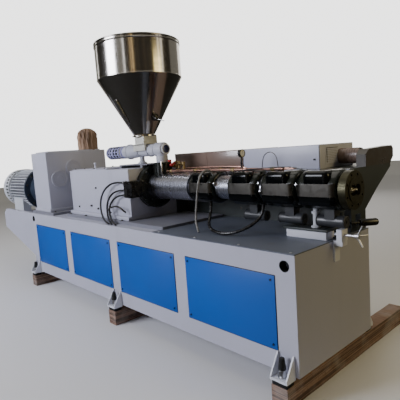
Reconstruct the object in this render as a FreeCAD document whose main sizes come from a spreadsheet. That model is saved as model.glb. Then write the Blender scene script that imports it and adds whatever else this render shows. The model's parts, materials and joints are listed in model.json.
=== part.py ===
"""Conical twin-screw plastic extruder on its shipping timbers.

Frame: millimetres, +X along the barrel towards the discharge end, +Z up. The origin is on the floor,
under the barrel's axis and half way along the bed, and Y = 0 is the plane through the barrel's axis.
Lengths along X are counted back from the bed's discharge end, and heights are stacked on the deck.
"""
import FreeCAD, Part
import math
import os
import re

import Sketcher
from FreeCAD import Rotation, Vector

doc = FreeCAD.newDocument("plastic_extruder")

# ---------------------------------------------------------------- driving dimensions

SIZES = {
    # bed and its covers
    "bed_length": 3350,
    "bed_width": 754,
    "bed_height": 620,
    "prow_length": 875,
    "prow_nose_height": 400,
    "prow_heel": 155,
    "prow_corner": 87,
    "prow_corner_drop": 50,
    "prow_floor_depth": 62,
    "prow_wall": 45,
    "panel_length": 688,
    "panel_height": 390,
    "panel_pitch": 805,
    "panel_bottom": 112,
    "panel_proud": 4,
    "lifting_radius": 28,
    "lifting_inset": 62,
    "lifting_drop": 60,
    "deck_thickness": 6,
    "deck_length": 1130,
    # feet and timbers
    "timber_height": 110,
    "timber_width": 100,
    "timber_length": 1370,
    "timber_front_overhang": 70,
    "foot_height": 38,
    "foot_inset": 74,
    "foot_reach": 74,
    "foot_width": 104,
    "foot_plate": 12,
    "foot_gusset": 8,
    "foot_rise": 111,
    "foot_bolt_radius": 15,
    "foot_bolt_rise": 104,
    "foot_nut_radius": 20,
    "foot_nut_height": 42,
    "foot_pad_inset": 6,
    # drive
    "plate_thickness": 25,
    "gearbox_gap": 310,
    "gearbox_length": 372,
    "gearbox_width": 660,
    "gearbox_height": 595,
    "gearbox_plate_length": 530,
    "gearbox_plate_width": 714,
    "cover_radius": 90,
    "cover_thickness": 14,
    "cover_low_y": -205,
    "cover_low_height": 347,
    "cover_high_y": -43,
    "cover_high_height": 450,
    "distribution_length": 1009,
    "distribution_width": 480,
    "distribution_height": 372,
    "distribution_foot": 31,
    "distribution_foot_width": 540,
    "distribution_plate_width": 592,
    "motor_height": 213,
    "motor_radius": 218,
    "motor_fin_height": 18,
    "motor_fin_width": 7,
    "motor_fin_count": 40,
    "motor_overhang": 477,
    "motor_body_length": 560,
    "motor_hood_length": 290,
    "motor_hood_radius": 243,
    "motor_hood_round": 110,
    "motor_flange_radius": 248,
    "motor_flange_thickness": 34,
    "motor_foot_length": 300,
    "motor_foot_width": 90,
    "motor_foot_track": 330,
    "coupling_radius": 187,
    "gear_coupling_radius": 88,
    # barrel
    "barrel_height": 275,
    "barrel_length": 1622,
    "flange_overhang": 117,
    "rear_flange_radius": 173,
    "rear_flange_thickness": 50,
    "sleeve_radius": 103,
    "sleeve_step": 1.5,
    "sleeve_first_length": 87,
    "sleeve_length": 470,
    "barrel_radius": 78,
    "zone_clearance": 0.3,
    "zone_radius": 108,
    "zone_length": 240,
    "zone_upper_length": 150,
    "zone_lower_length": 226,
    "zone_half_depth": 116,
    "zone_upper_bottom": 8,
    "zone_top_step": 1,
    "zone_round_share": 0.85,
    "zone_foot_share": 0.8,
    "zone_lower_bottom": 82,
    "zone_corner": 28,
    "zone_from_flange": 164,
    "zone_pitch": 252,
    "zone_second_pitch": 267,
    "zone_first_pitch": 372,
    "end_flange_radius": 101,
    "end_flange_thickness": 40,
    "end_ring_radius": 66,
    "end_ring_height": 4,
    "end_bolt_circle": 166,
    "end_bolt_radius": 6.5,
    "end_bolt_count": 8,
    "end_bolt_floor": 6,
    "screw_bore_radius": 30,
    "screw_bore_depth": 36,
    "screw_spacing": 46,
    "screw_tip_radius": 21,
    "screw_tip_length": 34,
    # under the barrel
    "blower_length": 150,
    "blower_radius": 32,
    "blower_neck": 60,
    "blower_drop": 30,
    "blower_shift": 32,
    "support_from_end": 25,
    "support_length": 255,
    "support_width": 100,
    "support_height": 46,
    "support_plate": 12,
    "support_post_radius": 15,
    "support_post_from_end": 115,
    # handwheel
    "wheel_height": 36,
    "wheel_radius": 55,
    "wheel_rim": 6,
    "wheel_reach": 151,
    "wheel_dish": 30,
    "wheel_spoke": 4,
    "wheel_hub_radius": 14,
    "wheel_hub_length": 24,
    "wheel_shaft_radius": 8,
    "wheel_shaft_clearance": 0.05,
    "wheel_shaft_inset": 5,
    "wheel_block_gap": 23,
    "wheel_block_thickness": 30,
    "wheel_block_size": 62,
    "wheel_arm": 26,
    "wheel_backplate": 8,
    "wheel_backplate_height": 115,
    # feed
    "throat_gap": 10,
    "throat_radius": 66,
    "throat_rib": 6,
    "throat_rib_count": 16,
    "throat_height": 185,
    "feeder_height": 286,
    "feeder_radius": 48,
    "feeder_half_length": 138,
    "feeder_shift": -158,
    "feeder_gear_length": 196,
    "feeder_gear_radius": 64,
    "feeder_motor_length": 272,
    "feeder_motor_radius": 50,
    "feeder_motor_fin": 6,
    "feeder_leg_shift": 26,
    "feeder_leg_radius": 20,
    "spout_radius": 34,
    "sight_radius": 40,
    "sight_thickness": 22,
    "bracket_length": 400,
    "bracket_width": 200,
    "bracket_thickness": 8,
    "bracket_spacer": 30,
    "neck_size": 172,
    "neck_height": 115,
    "neck_inlet_gap": 12,
    "hopper_shift": -212,
    "hopper_radius": 334,
    "hopper_outlet": 81,
    "hopper_wall": 3,
    "hopper_cone_height": 446,
    "hopper_cylinder_height": 274,
    "hopper_bead": 6,
    "hopper_bead_pitch": 22,
    "hopper_flange": 16,
    "hopper_flange_thickness": 8,
    # rear shelf and what stands on it
    "shelf_length": 1566,
    "shelf_from_end": 15,
    "shelf_front": 205,
    "shelf_overhang": 350,
    "stand_step_share": 0.32,
    "stand_waist_share": 0.62,
    "stand_reach_share": 0.42,
    "shelf_height": 347,
    "shelf_thickness": 20,
    "stand_plate": 8,
    "stand_wall_inset": 45,
    "stand_window_front": 125,
    "stand_window_back": 60,
    "stand_window_low": 25,
    "stand_window_high": 95,
    "control_length": 610,
    "control_front_gap": 20,
    "control_depth": 405,
    "control_height": 148,
    "control_from_shelf_end": 200,
    "duct_radius": 46,
    "duct_rise": 66,
    "duct_y": 462,
    "hood_length": 60,
    "hood_front": 394,
    "hood_overhang": 45,
    "hood_height": 112,
    "hood_corner": 40,
    # fittings
    "junction_length": 90,
    "junction_width": 112,
    "junction_height": 127,
    "junction_inner_y": 178,
    "junction_drop": 65,
    "pipe_radius": 9,
    "pipe_gap": 0.3,
    "pipe_start": 20,
    "pipe_spacing": 46,
    "gauge_radius": 26,
    "gauge_thickness": 30,
    "gauge_stem_radius": 6,
    "gauge_stem_height": 84,
    "gauge_shift": -72,
    "wrap_radius": 118,
    "wrap_round_share": 0.7,
    "wrap_height": 245,
    "wrap_y": 205,
    "wrap_from_face": 130,
    "window_length": 200,
    "window_width": 34,
    "window_thickness": 10,
    "window_share": 0.42,
    "valve_radius": 18,
    "valve_share": 0.30,
    "valve_length": 42,
    "hose_diameter": 15,
    "grey_cable_diameter": 14,
    "black_cable_diameter": 20,
}

sheet = doc.addObject("Spreadsheet::Sheet", "Sizes")
for row, (alias, value) in enumerate(SIZES.items(), 1):
    sheet.set(f"A{row}", alias)
    sheet.set(f"B{row}", str(value))
    sheet.setAlias(f"B{row}", alias)
doc.recompute()


def linked(text):
    """The expression with its size names pointing at the spreadsheet."""
    return re.sub(r"[a-z_]+", lambda m: f"Sizes.{m[0]}" if m[0] in SIZES else m[0], str(text))


def worth(text):
    """What an expression in size names is worth now."""
    return float(sheet.evalExpression(linked(text)))


# Heights and stations that many pieces share, as expressions in the sheet's sizes.
BED_BOTTOM = "(timber_height + foot_height)"
DECK = f"({BED_BOTTOM} + bed_height)"
DECK_TOP = f"({DECK} + deck_thickness)"
END = "(bed_length / 2)"
START = "(-bed_length / 2)"
SIDE = "(bed_width / 2)"
AXIS = f"({DECK} + barrel_height)"
BARREL_END = f"({END} + flange_overhang - end_flange_thickness)"
REAR_FLANGE_FACE = f"({BARREL_END} - barrel_length)"
DISTRIBUTION_END = f"({REAR_FLANGE_FACE} - rear_flange_thickness)"
DISTRIBUTION_START = f"({DISTRIBUTION_END} - distribution_length)"
GEARBOX_END = f"({DISTRIBUTION_START} - gearbox_gap)"
GEARBOX_START = f"({GEARBOX_END} - gearbox_length)"
GEARBOX_BOTTOM = f"({DECK} + plate_thickness)"
DISTRIBUTION_TOP = f"({GEARBOX_BOTTOM} + distribution_foot + distribution_height)"
MOTOR_AXIS = f"({DECK} + motor_height)"
MOTOR_END = f"({START} - prow_length - motor_overhang + motor_hood_length + motor_body_length)"
PROW_FLOOR = f"({DECK} - prow_floor_depth)"
ZONES = {
    "heater_zone_4": f"({BARREL_END} + end_flange_thickness - zone_from_flange)",
    "heater_zone_3": f"({BARREL_END} + end_flange_thickness - zone_from_flange - zone_pitch)",
}
ZONES["heater_zone_2"] = f"({ZONES['heater_zone_3']} - zone_second_pitch)"
ZONES["heater_zone_1"] = f"({ZONES['heater_zone_2']} - zone_first_pitch)"
THROAT = f"({REAR_FLANGE_FACE} + throat_radius + throat_rib + throat_gap)"
FEEDER_AXIS = f"({AXIS} + feeder_height)"
HOPPER = f"({THROAT} + hopper_shift)"
FEEDER_MID = f"({THROAT} + feeder_shift)"
NECK_TOP = f"({FEEDER_AXIS} + neck_height)"
SHELF_END = f"({END} - shelf_from_end)"
SHELF_START = f"({SHELF_END} - shelf_length)"
SHELF_TOP = f"({DECK} + shelf_height + shelf_thickness)"
SHELF_BACK = f"({SIDE} + shelf_overhang)"
CONTROL_END = f"({SHELF_END} - control_from_shelf_end)"
CONTROL_START = f"({CONTROL_END} - control_length)"
CONTROL_FRONT = "(shelf_front + control_front_gap)"
SUPPORT_END = f"({END} - support_from_end)"
SUPPORT_TOP = f"({DECK_TOP} + support_height)"
WHEEL_AXIS = f"({DECK} + wheel_height)"
WHEEL_FACE = f"({END} + wheel_reach)"
BLOCK_START = f"({END} + wheel_block_gap)"
JUNCTION_BOTTOM = f"({AXIS} - junction_drop)"

ALONG_X = Rotation(Vector(0, 1, 0), 90)
ALONG_Y = Rotation(Vector(1, 0, 0), -90)
LIFTING_STATIONS = (f"{START} + lifting_inset", f"{END} - lifting_inset")
FOOT_STATIONS = (f"{START} + foot_inset", "0", f"{END} - foot_inset")
PANEL_STATIONS = ("-1.5 * panel_pitch", "-0.5 * panel_pitch", "0.5 * panel_pitch", "1.5 * panel_pitch")


# ---------------------------------------------------------------- making objects of the document

def bind(thing, **sizes):
    """Bind properties to expressions in the sheet's sizes; base=(x, y, z) binds the place."""
    for axis, text in zip("xyz", sizes.pop("base", ())):
        thing.setExpression(f"Placement.Base.{axis}", linked(text))
    for name, text in sizes.items():
        thing.setExpression(name, linked(text))
    return thing


def box(name, x, y, z):
    """A block between two expressions along each axis."""
    block = doc.addObject("Part::Box", name)
    return bind(block, Length=f"{x[1]} - ({x[0]})", Width=f"{y[1]} - ({y[0]})",
                Height=f"{z[1]} - ({z[0]})", base=(x[0], y[0], z[0]))


def upright(name, radius, x, y, z):
    """A round bar along Z between two heights."""
    bar = doc.addObject("Part::Cylinder", name)
    return bind(bar, Radius=radius, Height=f"{z[1]} - ({z[0]})", base=(x, y, z[0]))


def along_x(name, radius, x, y, z):
    """A round bar along X between two stations."""
    bar = doc.addObject("Part::Cylinder", name)
    bar.Placement.Rotation = ALONG_X
    return bind(bar, Radius=radius, Height=f"{x[1]} - ({x[0]})", base=(x[0], y, z))


def along_y(name, radius, x, y, z):
    """A round bar along Y between two places."""
    bar = doc.addObject("Part::Cylinder", name)
    bar.Placement.Rotation = ALONG_Y
    return bind(bar, Radius=radius, Height=f"{y[1]} - ({y[0]})", base=(x, y[0], z))


def fused(name, *pieces):
    joined = doc.addObject("Part::MultiFuse", name)
    joined.Shapes = list(pieces)
    joined.Refine = False
    return joined


def cut(name, base, *tools):
    """The base with every tool taken out of it."""
    tool = tools[0] if len(tools) == 1 else fused(f"{name}Tools", *tools)
    result = doc.addObject("Part::Cut", name)
    result.Base = base
    result.Tool = tool
    result.Refine = False
    return result


def group(name, *pieces):
    """Like pieces that share a node as solids that don't touch."""
    together = doc.addObject("Part::Compound", name)
    together.Links = list(pieces)
    return together


def sketch_on(body, role, name, outline):
    """A closed outline of straight edges, each corner held by two expressions."""
    sketch = body.newObject("Sketcher::SketchObject", name)
    plane = next(f for f in body.Origin.OriginFeatures if f.Role == role)
    sketch.AttachmentSupport = [(plane, "")]
    sketch.MapMode = "FlatFace"
    corners = [Vector(worth(across), worth(up), 0) for across, up in outline]
    for i, corner in enumerate(corners):
        sketch.addGeometry(Part.LineSegment(corner, corners[(i + 1) % len(corners)]), False)
    for i in range(len(corners)):
        sketch.addConstraint(Sketcher.Constraint("Coincident", i, 2, (i + 1) % len(corners), 1))
    for i, (across, up) in enumerate(outline):
        for kind, text, value in (("DistanceX", across, corners[i].x), ("DistanceY", up, corners[i].y)):
            index = sketch.addConstraint(Sketcher.Constraint(kind, -1, 1, i, 1, value))
            sketch.setExpression(f"Constraints[{index}]", linked(text))
    return sketch


def padded(name, role, outline, length, base):
    """A body with its outline padded evenly to both sides of its plane."""
    body = doc.addObject("PartDesign::Body", name)
    pad = body.newObject("PartDesign::Pad", f"{name}Pad")
    pad.Profile = sketch_on(body, role, f"{name}Outline", outline)
    pad.Midplane = True
    bind(pad, Length=length)
    bind(body, base=base)
    body.Tip = pad
    return body


def turned(name, outline, axis, base):
    """A body turned from half its section about its own X ("H_Axis") or Z ("V_Axis") axis."""
    body = doc.addObject("PartDesign::Body", name)
    sketch = sketch_on(body, "XZ_Plane", f"{name}Section", outline)
    turn = body.newObject("PartDesign::Revolution", f"{name}Turn")
    turn.Profile = sketch
    turn.ReferenceAxis = (sketch, [axis])
    turn.Angle = 360
    bind(body, base=base)
    body.Tip = turn
    return body


def rounded(body, radius, chosen):
    """Fillet the edges of a body's last feature that the test picks."""
    doc.recompute()
    base = body.Tip
    edges = [f"Edge{i}" for i, edge in enumerate(base.Shape.Edges, 1) if chosen(edge)]
    fillet = body.newObject("PartDesign::Fillet", f"{body.Name}Round")
    fillet.Base = (base, edges)
    bind(fillet, Radius=radius)
    body.Tip = fillet
    return body


def is_upright(edge):
    """Whether an edge is straight and vertical."""
    ends = [v.Point for v in edge.Vertexes]
    return len(ends) == 2 and math.hypot(ends[0].x - ends[1].x, ends[0].y - ends[1].y) < 1e-6


nodes = {}


def node(label, thing, *tools):
    """Name a finished sub-part: the label is its file's name."""
    if tools:
        thing = cut(f"{label}_cut", thing, *tools)
    thing.Label = label
    nodes[label] = thing
    return thing


# ---------------------------------------------------------------- bed

def make_bed():
    body = box("BedBlock", (START, END), (f"-{SIDE}", SIDE), (BED_BOTTOM, DECK))
    holes = [along_y(f"Lifting{i}", "lifting_radius", x, (f"-{SIDE} - 1", f"{SIDE} + 1"),
                     f"{DECK} - lifting_drop") for i, x in enumerate(LIFTING_STATIONS)]
    node("bed_body", body, *holes)

    outline = [("0", "bed_height"), ("0", "prow_heel"), ("-prow_length", "prow_nose_height"),
               ("-prow_length", "bed_height - prow_corner_drop"),
               ("-prow_length + prow_corner", "bed_height")]
    wedge = padded("Prow", "XZ_Plane", outline, "bed_width", (START, "0", BED_BOTTOM))
    well = box("ProwWell", (f"{START} - prow_length - 1", f"{START} - prow_wall"),
               (f"-{SIDE} + prow_wall", f"{SIDE} - prow_wall"), (PROW_FLOOR, f"{DECK} + 1"))
    node("bed_prow", wedge, well)

    covers = []
    for i, x in enumerate(PANEL_STATIONS):
        for side, y in (("Front", (f"-{SIDE} - panel_proud", f"-{SIDE}")),
                        ("Rear", (SIDE, f"{SIDE} + panel_proud"))):
            covers.append(box(f"Panel{side}{i}", (f"{x} - panel_length / 2", f"{x} + panel_length / 2"), y,
                              (f"{BED_BOTTOM} + panel_bottom",
                               f"{BED_BOTTOM} + panel_bottom + panel_height")))
    node("side_panels", group("SidePanels", *covers))

    node("deck_plate", box("DeckPlate", (f"{END} - deck_length", END), (f"-{SIDE}", SIDE),
                           (DECK, DECK_TOP)))
    node("base_plates", group("BasePlates",
        box("GearboxPlate", (f"{GEARBOX_START} - (gearbox_plate_length - gearbox_length) / 3",
                             f"{GEARBOX_END} + (gearbox_plate_length - gearbox_length) * 2 / 3"),
            ("-gearbox_plate_width / 2", "gearbox_plate_width / 2"), (DECK, GEARBOX_BOTTOM)),
        box("DistributionPlate", (f"{DISTRIBUTION_START} - distribution_foot", f"{END} - deck_length"),
            ("-distribution_plate_width / 2", "distribution_plate_width / 2"), (DECK, GEARBOX_BOTTOM))))


# ---------------------------------------------------------------- feet and timbers

def make_feet():
    brackets = []
    bolts = []
    for i, x in enumerate(FOOT_STATIONS):
        for side, sign in (("Front", -1), ("Rear", 1)):
            tag = f"{side}{i}"
            bed_side = f"{sign} * {SIDE}"
            middle = f"{sign} * ({SIDE} + foot_reach / 2)"
            across = [f"{sign} * ({SIDE} + foot_reach)", bed_side]
            span = (f"{x} - foot_width / 2", f"{x} + foot_width / 2")
            pieces = [box(f"FootPlate{tag}", span, across[::-sign],
                          (f"{BED_BOTTOM} - foot_plate", BED_BOTTOM))]
            web = [("0", "0"), (f"{sign} * foot_reach", "0"), (f"{sign} * foot_reach", "foot_gusset"),
                   (f"{sign} * foot_gusset", "foot_rise"), ("0", "foot_rise")]
            for k, shift in enumerate(("(foot_gusset - foot_width) / 2", "(foot_width - foot_gusset) / 2")):
                pieces.append(padded(f"FootWeb{tag}{k}", "YZ_Plane", web, "foot_gusset",
                                     (f"{x} + {shift}", bed_side, BED_BOTTOM)))
            hole = upright(f"FootHole{tag}", "foot_bolt_radius", x, middle,
                           (f"{BED_BOTTOM} - foot_plate - 1", f"{BED_BOTTOM} + 1"))
            brackets.append(cut(f"Foot{tag}", fused(f"Bracket{tag}", *pieces), hole))
            half = "foot_width / 2 - foot_pad_inset"
            deep = "foot_reach / 2 - foot_pad_inset"
            bolts.append(fused(f"FootBolt{tag}",
                upright(f"Stud{tag}", "foot_bolt_radius", x, middle,
                        ("timber_height", f"{BED_BOTTOM} + foot_bolt_rise")),
                upright(f"Nut{tag}", "foot_nut_radius", x, middle,
                        (BED_BOTTOM, f"{BED_BOTTOM} + foot_nut_height")),
                box(f"Pad{tag}", (f"{x} - ({half})", f"{x} + {half}"),
                    (f"{middle} - ({deep})", f"{middle} + {deep}"),
                    ("timber_height", f"{BED_BOTTOM} - foot_plate"))))
    node("foot_brackets", group("FootBrackets", *brackets))
    node("foot_bolts", group("FootBolts", *bolts))
    beams = [box(f"Timber{i}", (f"{x} - timber_width / 2", f"{x} + timber_width / 2"),
                 (f"-{SIDE} - timber_front_overhang", f"-{SIDE} - timber_front_overhang + timber_length"),
                 ("0", "timber_height")) for i, x in enumerate(FOOT_STATIONS)]
    node("skid_beams", group("SkidBeams", *beams))


# ---------------------------------------------------------------- drive

def make_motor():
    front = f"{MOTOR_END} - motor_body_length"
    core = along_x("MotorCore", "motor_radius", (front, MOTOR_END), "0", MOTOR_AXIS)
    fins = []
    for i in range(int(worth("motor_fin_count"))):
        fin = doc.addObject("Part::Box", f"MotorFin{i}")
        turn = i * 360 / worth("motor_fin_count")
        fin.Placement = FreeCAD.Placement(Vector(), Rotation(Vector(1, 0, 0), turn))
        bind(fin, Length="motor_body_length - motor_fin_height * 2", Width="motor_fin_width",
             Height="motor_radius + motor_fin_height",
             base=(f"{front} + motor_fin_height", "0", MOTOR_AXIS))
        fins.append(fin)
    feet = []
    for side, sign in (("Front", -1), ("Rear", 1)):
        middle = f"{sign} * motor_foot_track / 2"
        feet.append(box(f"MotorFoot{side}", (f"{front} + motor_fin_height * 4",
                                             f"{front} + motor_fin_height * 4 + motor_foot_length"),
                        (f"{middle} - motor_foot_width / 2", f"{middle} + motor_foot_width / 2"),
                        (PROW_FLOOR, f"{MOTOR_AXIS} - motor_radius / 2")))
    node("motor_body", fused("MotorBody", core, *fins, *feet))

    hood = turned("MotorHood",
                  [("0", "0"), ("0", "motor_hood_radius"), ("-motor_hood_length", "motor_hood_radius"),
                                ("-motor_hood_length", "0")], "H_Axis", (front, "0", MOTOR_AXIS))
    far = -worth("motor_hood_length")
    rounded(hood, "motor_hood_round",
            lambda e: abs(e.CenterOfMass.x - far) < 1 and e.Curve.TypeId == "Part::GeomCircle")
    node("motor_fan_hood", hood)

    node("motor_coupling", group("Couplings",
        fused("MotorCoupling",
              along_x("MotorFlange", "motor_flange_radius",
                      (MOTOR_END, f"{MOTOR_END} + motor_flange_thickness"),
                      "0", MOTOR_AXIS),
              along_x("MotorBell", "coupling_radius", (MOTOR_END, GEARBOX_START), "0", MOTOR_AXIS)),
        along_x("GearCoupling", "gear_coupling_radius", (GEARBOX_END, DISTRIBUTION_START), "0", AXIS)))


def make_gearboxes():
    housing = box("Gearbox", (GEARBOX_START, GEARBOX_END), ("-gearbox_width / 2", "gearbox_width / 2"),
                  (GEARBOX_BOTTOM, f"{GEARBOX_BOTTOM} + gearbox_height"))
    node("gearbox_housing", housing)
    face = (GEARBOX_END, f"{GEARBOX_END} + cover_thickness")
    node("gearbox_covers", fused("GearboxCovers",
        along_x("CoverLow", "cover_radius", face, "cover_low_y", f"{DECK} + cover_low_height"),
        along_x("CoverHigh", "cover_radius", face, "cover_high_y", f"{DECK} + cover_high_height")))
    cap = turned("Wrap", [("0", "0"), ("wrap_radius", "0"), ("wrap_radius", "wrap_height"),
                          ("0", "wrap_height")],
                 "V_Axis", (f"{GEARBOX_END} - wrap_from_face", "wrap_y",
                            f"{GEARBOX_BOTTOM} + gearbox_height"))
    top = worth("wrap_height")
    rounded(cap, "wrap_radius * wrap_round_share",
            lambda e: abs(e.CenterOfMass.z - top) < 1 and e.Curve.TypeId == "Part::GeomCircle")
    node("wrapped_cap", cap)

    node("distribution_box", fused("Distribution",
        box("DistributionFoot", (DISTRIBUTION_START, DISTRIBUTION_END),
            ("-distribution_foot_width / 2", "distribution_foot_width / 2"),
            (GEARBOX_BOTTOM, f"{GEARBOX_BOTTOM} + distribution_foot")),
        box("DistributionBlock", (DISTRIBUTION_START, DISTRIBUTION_END),
            ("-distribution_width / 2", "distribution_width / 2"),
            (GEARBOX_BOTTOM, DISTRIBUTION_TOP))))
    node("junction_box", box("Junction", (DISTRIBUTION_END, f"{DISTRIBUTION_END} + junction_length"),
                             ("-junction_inner_y - junction_width", "-junction_inner_y"),
                             (JUNCTION_BOTTOM, f"{JUNCTION_BOTTOM} + junction_height")))


# ---------------------------------------------------------------- barrel

def make_zone(label, station):
    """One heater: a domed drum with a narrow upper hood and a wide lower hood."""
    tag = label[-1]
    half = "zone_length / 2"
    drum = turned(f"Drum{tag}",
                  [(f"-{half}", "barrel_radius + zone_clearance"), (f"-{half}", "zone_radius"),
                                 (half, "zone_radius"), (half, "barrel_radius + zone_clearance")],
                  "H_Axis", (station, "0", AXIS))
    rounded(drum, "(zone_radius - barrel_radius) * zone_round_share",
            lambda e: e.Curve.TypeId == "Part::GeomCircle" and abs(e.Curve.Radius - worth("zone_radius")) < 0.1)
    hood_top = "zone_radius - zone_top_step"
    hoods = []
    for part, length, low, high in (("Upper", "zone_upper_length", "zone_upper_bottom",
                                     hood_top),
                                    ("Lower", "zone_lower_length", "-zone_lower_bottom",
                                     "zone_upper_bottom")):
        outline = [(f"-{length} / 2", "-zone_half_depth"), (f"{length} / 2", "-zone_half_depth"),
                   (f"{length} / 2", "zone_half_depth"), (f"-{length} / 2", "zone_half_depth")]
        hood = padded(f"Hood{part}{tag}", "XY_Plane", outline, f"{high} - ({low})",
                      (station, "0", f"{AXIS} + ({high} + ({low})) / 2"))
        rounded(hood, "zone_corner" if part == "Lower" else "zone_corner / 3", is_upright)
        hoods.append(hood)
    bore = along_x(f"ZoneBore{tag}", "barrel_radius + zone_clearance",
                   (f"{station} - zone_length", f"{station} + zone_length"), "0", AXIS)
    node(label, fused(f"Zone{tag}", drum, *hoods), bore)


def make_barrel():
    for label, station in ZONES.items():
        make_zone(label, station)
    sleeve_end = f"{REAR_FLANGE_FACE} + sleeve_length"
    step = f"{REAR_FLANGE_FACE} + sleeve_first_length"
    node("barrel", fused("Barrel",
        along_x("BarrelCore", "barrel_radius", (REAR_FLANGE_FACE, BARREL_END), "0", AXIS),
        along_x("SleeveFirst", "sleeve_radius", (REAR_FLANGE_FACE, step), "0", AXIS),
        along_x("SleeveSecond", "sleeve_radius - sleeve_step", (step, sleeve_end), "0", AXIS)))
    node("barrel_rear_flange", along_x("RearFlange", "rear_flange_radius",
                                       (DISTRIBUTION_END, REAR_FLANGE_FACE), "0", AXIS))

    face = f"({BARREL_END} + end_flange_thickness)"
    flange = fused("EndFlangeBlank",
        along_x("EndDisc", "end_flange_radius", (BARREL_END, face), "0", AXIS),
        along_x("EndRing", "end_ring_radius", (BARREL_END, f"{face} + end_ring_height"), "0", AXIS))
    tools = []
    for i, sign in enumerate((-1, 1)):
        tools.append(along_x(f"ScrewBore{i}", "screw_bore_radius",
                             (f"{face} - screw_bore_depth", f"{face} + end_ring_height + 1"),
                             f"{sign} * screw_spacing / 2", AXIS))
    for i in range(SIZES["end_bolt_count"]):
        turn = (i + 0.5) * 360 / SIZES["end_bolt_count"]
        tools.append(along_x(f"EndBolt{i}", "end_bolt_radius",
                             (f"{BARREL_END} + end_bolt_floor", f"{face} + 1"),
                             f"end_bolt_circle / 2 * cos({turn})",
                             f"{AXIS} + end_bolt_circle / 2 * sin({turn})"))
    node("barrel_end_flange", flange, *tools)
    tips = []
    for i, sign in enumerate((-1, 1)):
        tip = doc.addObject("Part::Cone", f"ScrewTip{i}")
        tip.Placement.Rotation = ALONG_X
        tips.append(bind(tip, Radius1="screw_tip_radius", Radius2="screw_tip_radius / 4",
                         Height="screw_tip_length",
                         base=(f"{face} - screw_bore_depth", f"{sign} * screw_spacing / 2", AXIS)))
    node("screw_tips", group("ScrewTips", *tips))


def make_under_barrel():
    blowers = []
    for tag, label in (("A", "heater_zone_2"), ("B", "heater_zone_3"), ("C", "heater_zone_4")):
        middle = f"({ZONES[label]} + blower_shift)"
        top = f"{AXIS} - zone_radius"
        axis = f"({top} - blower_drop - blower_radius)"
        blowers.append(cut(f"Blower{tag}", fused(f"BlowerBlank{tag}",
            along_x(f"BlowerBody{tag}", "blower_radius",
                    (f"{middle} - blower_length / 2", f"{middle} + blower_length / 2"),
                    "0", axis),
            box(f"BlowerNeck{tag}", (f"{middle} - blower_neck / 2", f"{middle} + blower_neck / 2"),
                ("-blower_neck / 2", "blower_neck / 2"),
                (axis, f"{AXIS} - zone_radius * zone_foot_share"))),
            along_x(f"BlowerFit{tag}", "zone_radius + zone_clearance",
                    (f"{middle} - blower_length", f"{middle} + blower_length"), "0", AXIS),
            box(f"BlowerHoodFit{tag}", (f"{middle} - blower_length", f"{middle} + blower_length"),
                ("-zone_half_depth", "zone_half_depth"),
                (f"{AXIS} - zone_lower_bottom - zone_clearance", AXIS))))
    node("cooling_blowers", group("Blowers", *blowers))

    plate_top = f"({SUPPORT_TOP} + support_plate)"
    post = upright("SupportPost", "support_post_radius", f"{END} - support_post_from_end", "0",
                   (plate_top, f"{AXIS} - zone_radius * zone_foot_share"))
    fit = along_x("SupportFit", "zone_radius + zone_clearance", (f"{SUPPORT_END} - support_length", END),
                  "0", AXIS)
    node("barrel_support", fused("Support",
        box("SupportBase", (f"{SUPPORT_END} - support_length", SUPPORT_END),
            ("-support_width / 2", "support_width / 2"), (DECK_TOP, SUPPORT_TOP)),
        box("SupportPlate", (f"{SUPPORT_END} - support_length - support_plate",
                             f"{SUPPORT_END} + support_plate"),
            ("-support_width / 2 - support_plate", "support_width / 2 + support_plate"),
            (SUPPORT_TOP, plate_top)),
        cut("SupportPostFit", post, fit)))


def make_handwheel():
    block_end = f"({BLOCK_START} + wheel_block_thickness)"
    low = f"({WHEEL_AXIS} - wheel_block_size / 2)"
    bracket = fused("WheelBracket",
        box("WheelBlock", (BLOCK_START, block_end), ("-wheel_block_size / 2", "wheel_block_size / 2"),
            (low, f"{WHEEL_AXIS} + wheel_block_size / 2")),
        box("WheelArm", (END, block_end), ("-wheel_arm", "wheel_arm"), (f"{low} - wheel_arm", low)),
        box("WheelBackplate", (END, f"{END} + wheel_backplate"), ("-wheel_arm", "wheel_arm"),
            (f"{low} - wheel_backplate_height", low)))
    bore = along_x("WheelBore", "wheel_shaft_radius + wheel_shaft_clearance",
                   (f"{BLOCK_START} - 1", f"{block_end} + 1"),
                   "0", WHEEL_AXIS)
    node("handwheel_bracket", bracket, bore)

    rim = doc.addObject("Part::Torus", "WheelRim")
    rim.Placement.Rotation = ALONG_X.multiply(Rotation(Vector(0, 0, 1), 30))
    bind(rim, Radius1="wheel_radius", Radius2="wheel_rim", base=(WHEEL_FACE, "0", WHEEL_AXIS))
    hub_end = f"({WHEEL_FACE} - wheel_dish + wheel_hub_length / 2)"
    pieces = [rim,
              along_x("WheelHub", "wheel_hub_radius", (f"{hub_end} - wheel_hub_length", hub_end), "0",
                      WHEEL_AXIS),
              along_x("WheelShaft", "wheel_shaft_radius", (f"{END} - wheel_shaft_inset", hub_end), "0",
                      WHEEL_AXIS)]
    lean = math.degrees(math.atan2(worth("wheel_dish"), worth("wheel_radius")))
    for i in range(4):
        spoke = doc.addObject("Part::Cylinder", f"WheelSpoke{i}")
        spoke.Placement.Rotation = Rotation(Vector(1, 0, 0), 90 * i) * Rotation(Vector(0, 1, 0), lean)
        pieces.append(bind(spoke, Radius="wheel_spoke", Height="sqrt(wheel_radius ^ 2 + wheel_dish ^ 2)",
                           base=(f"{WHEEL_FACE} - wheel_dish", "0", WHEEL_AXIS)))
    node("handwheel", fused("Handwheel", *pieces))


# ---------------------------------------------------------------- feed

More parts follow.
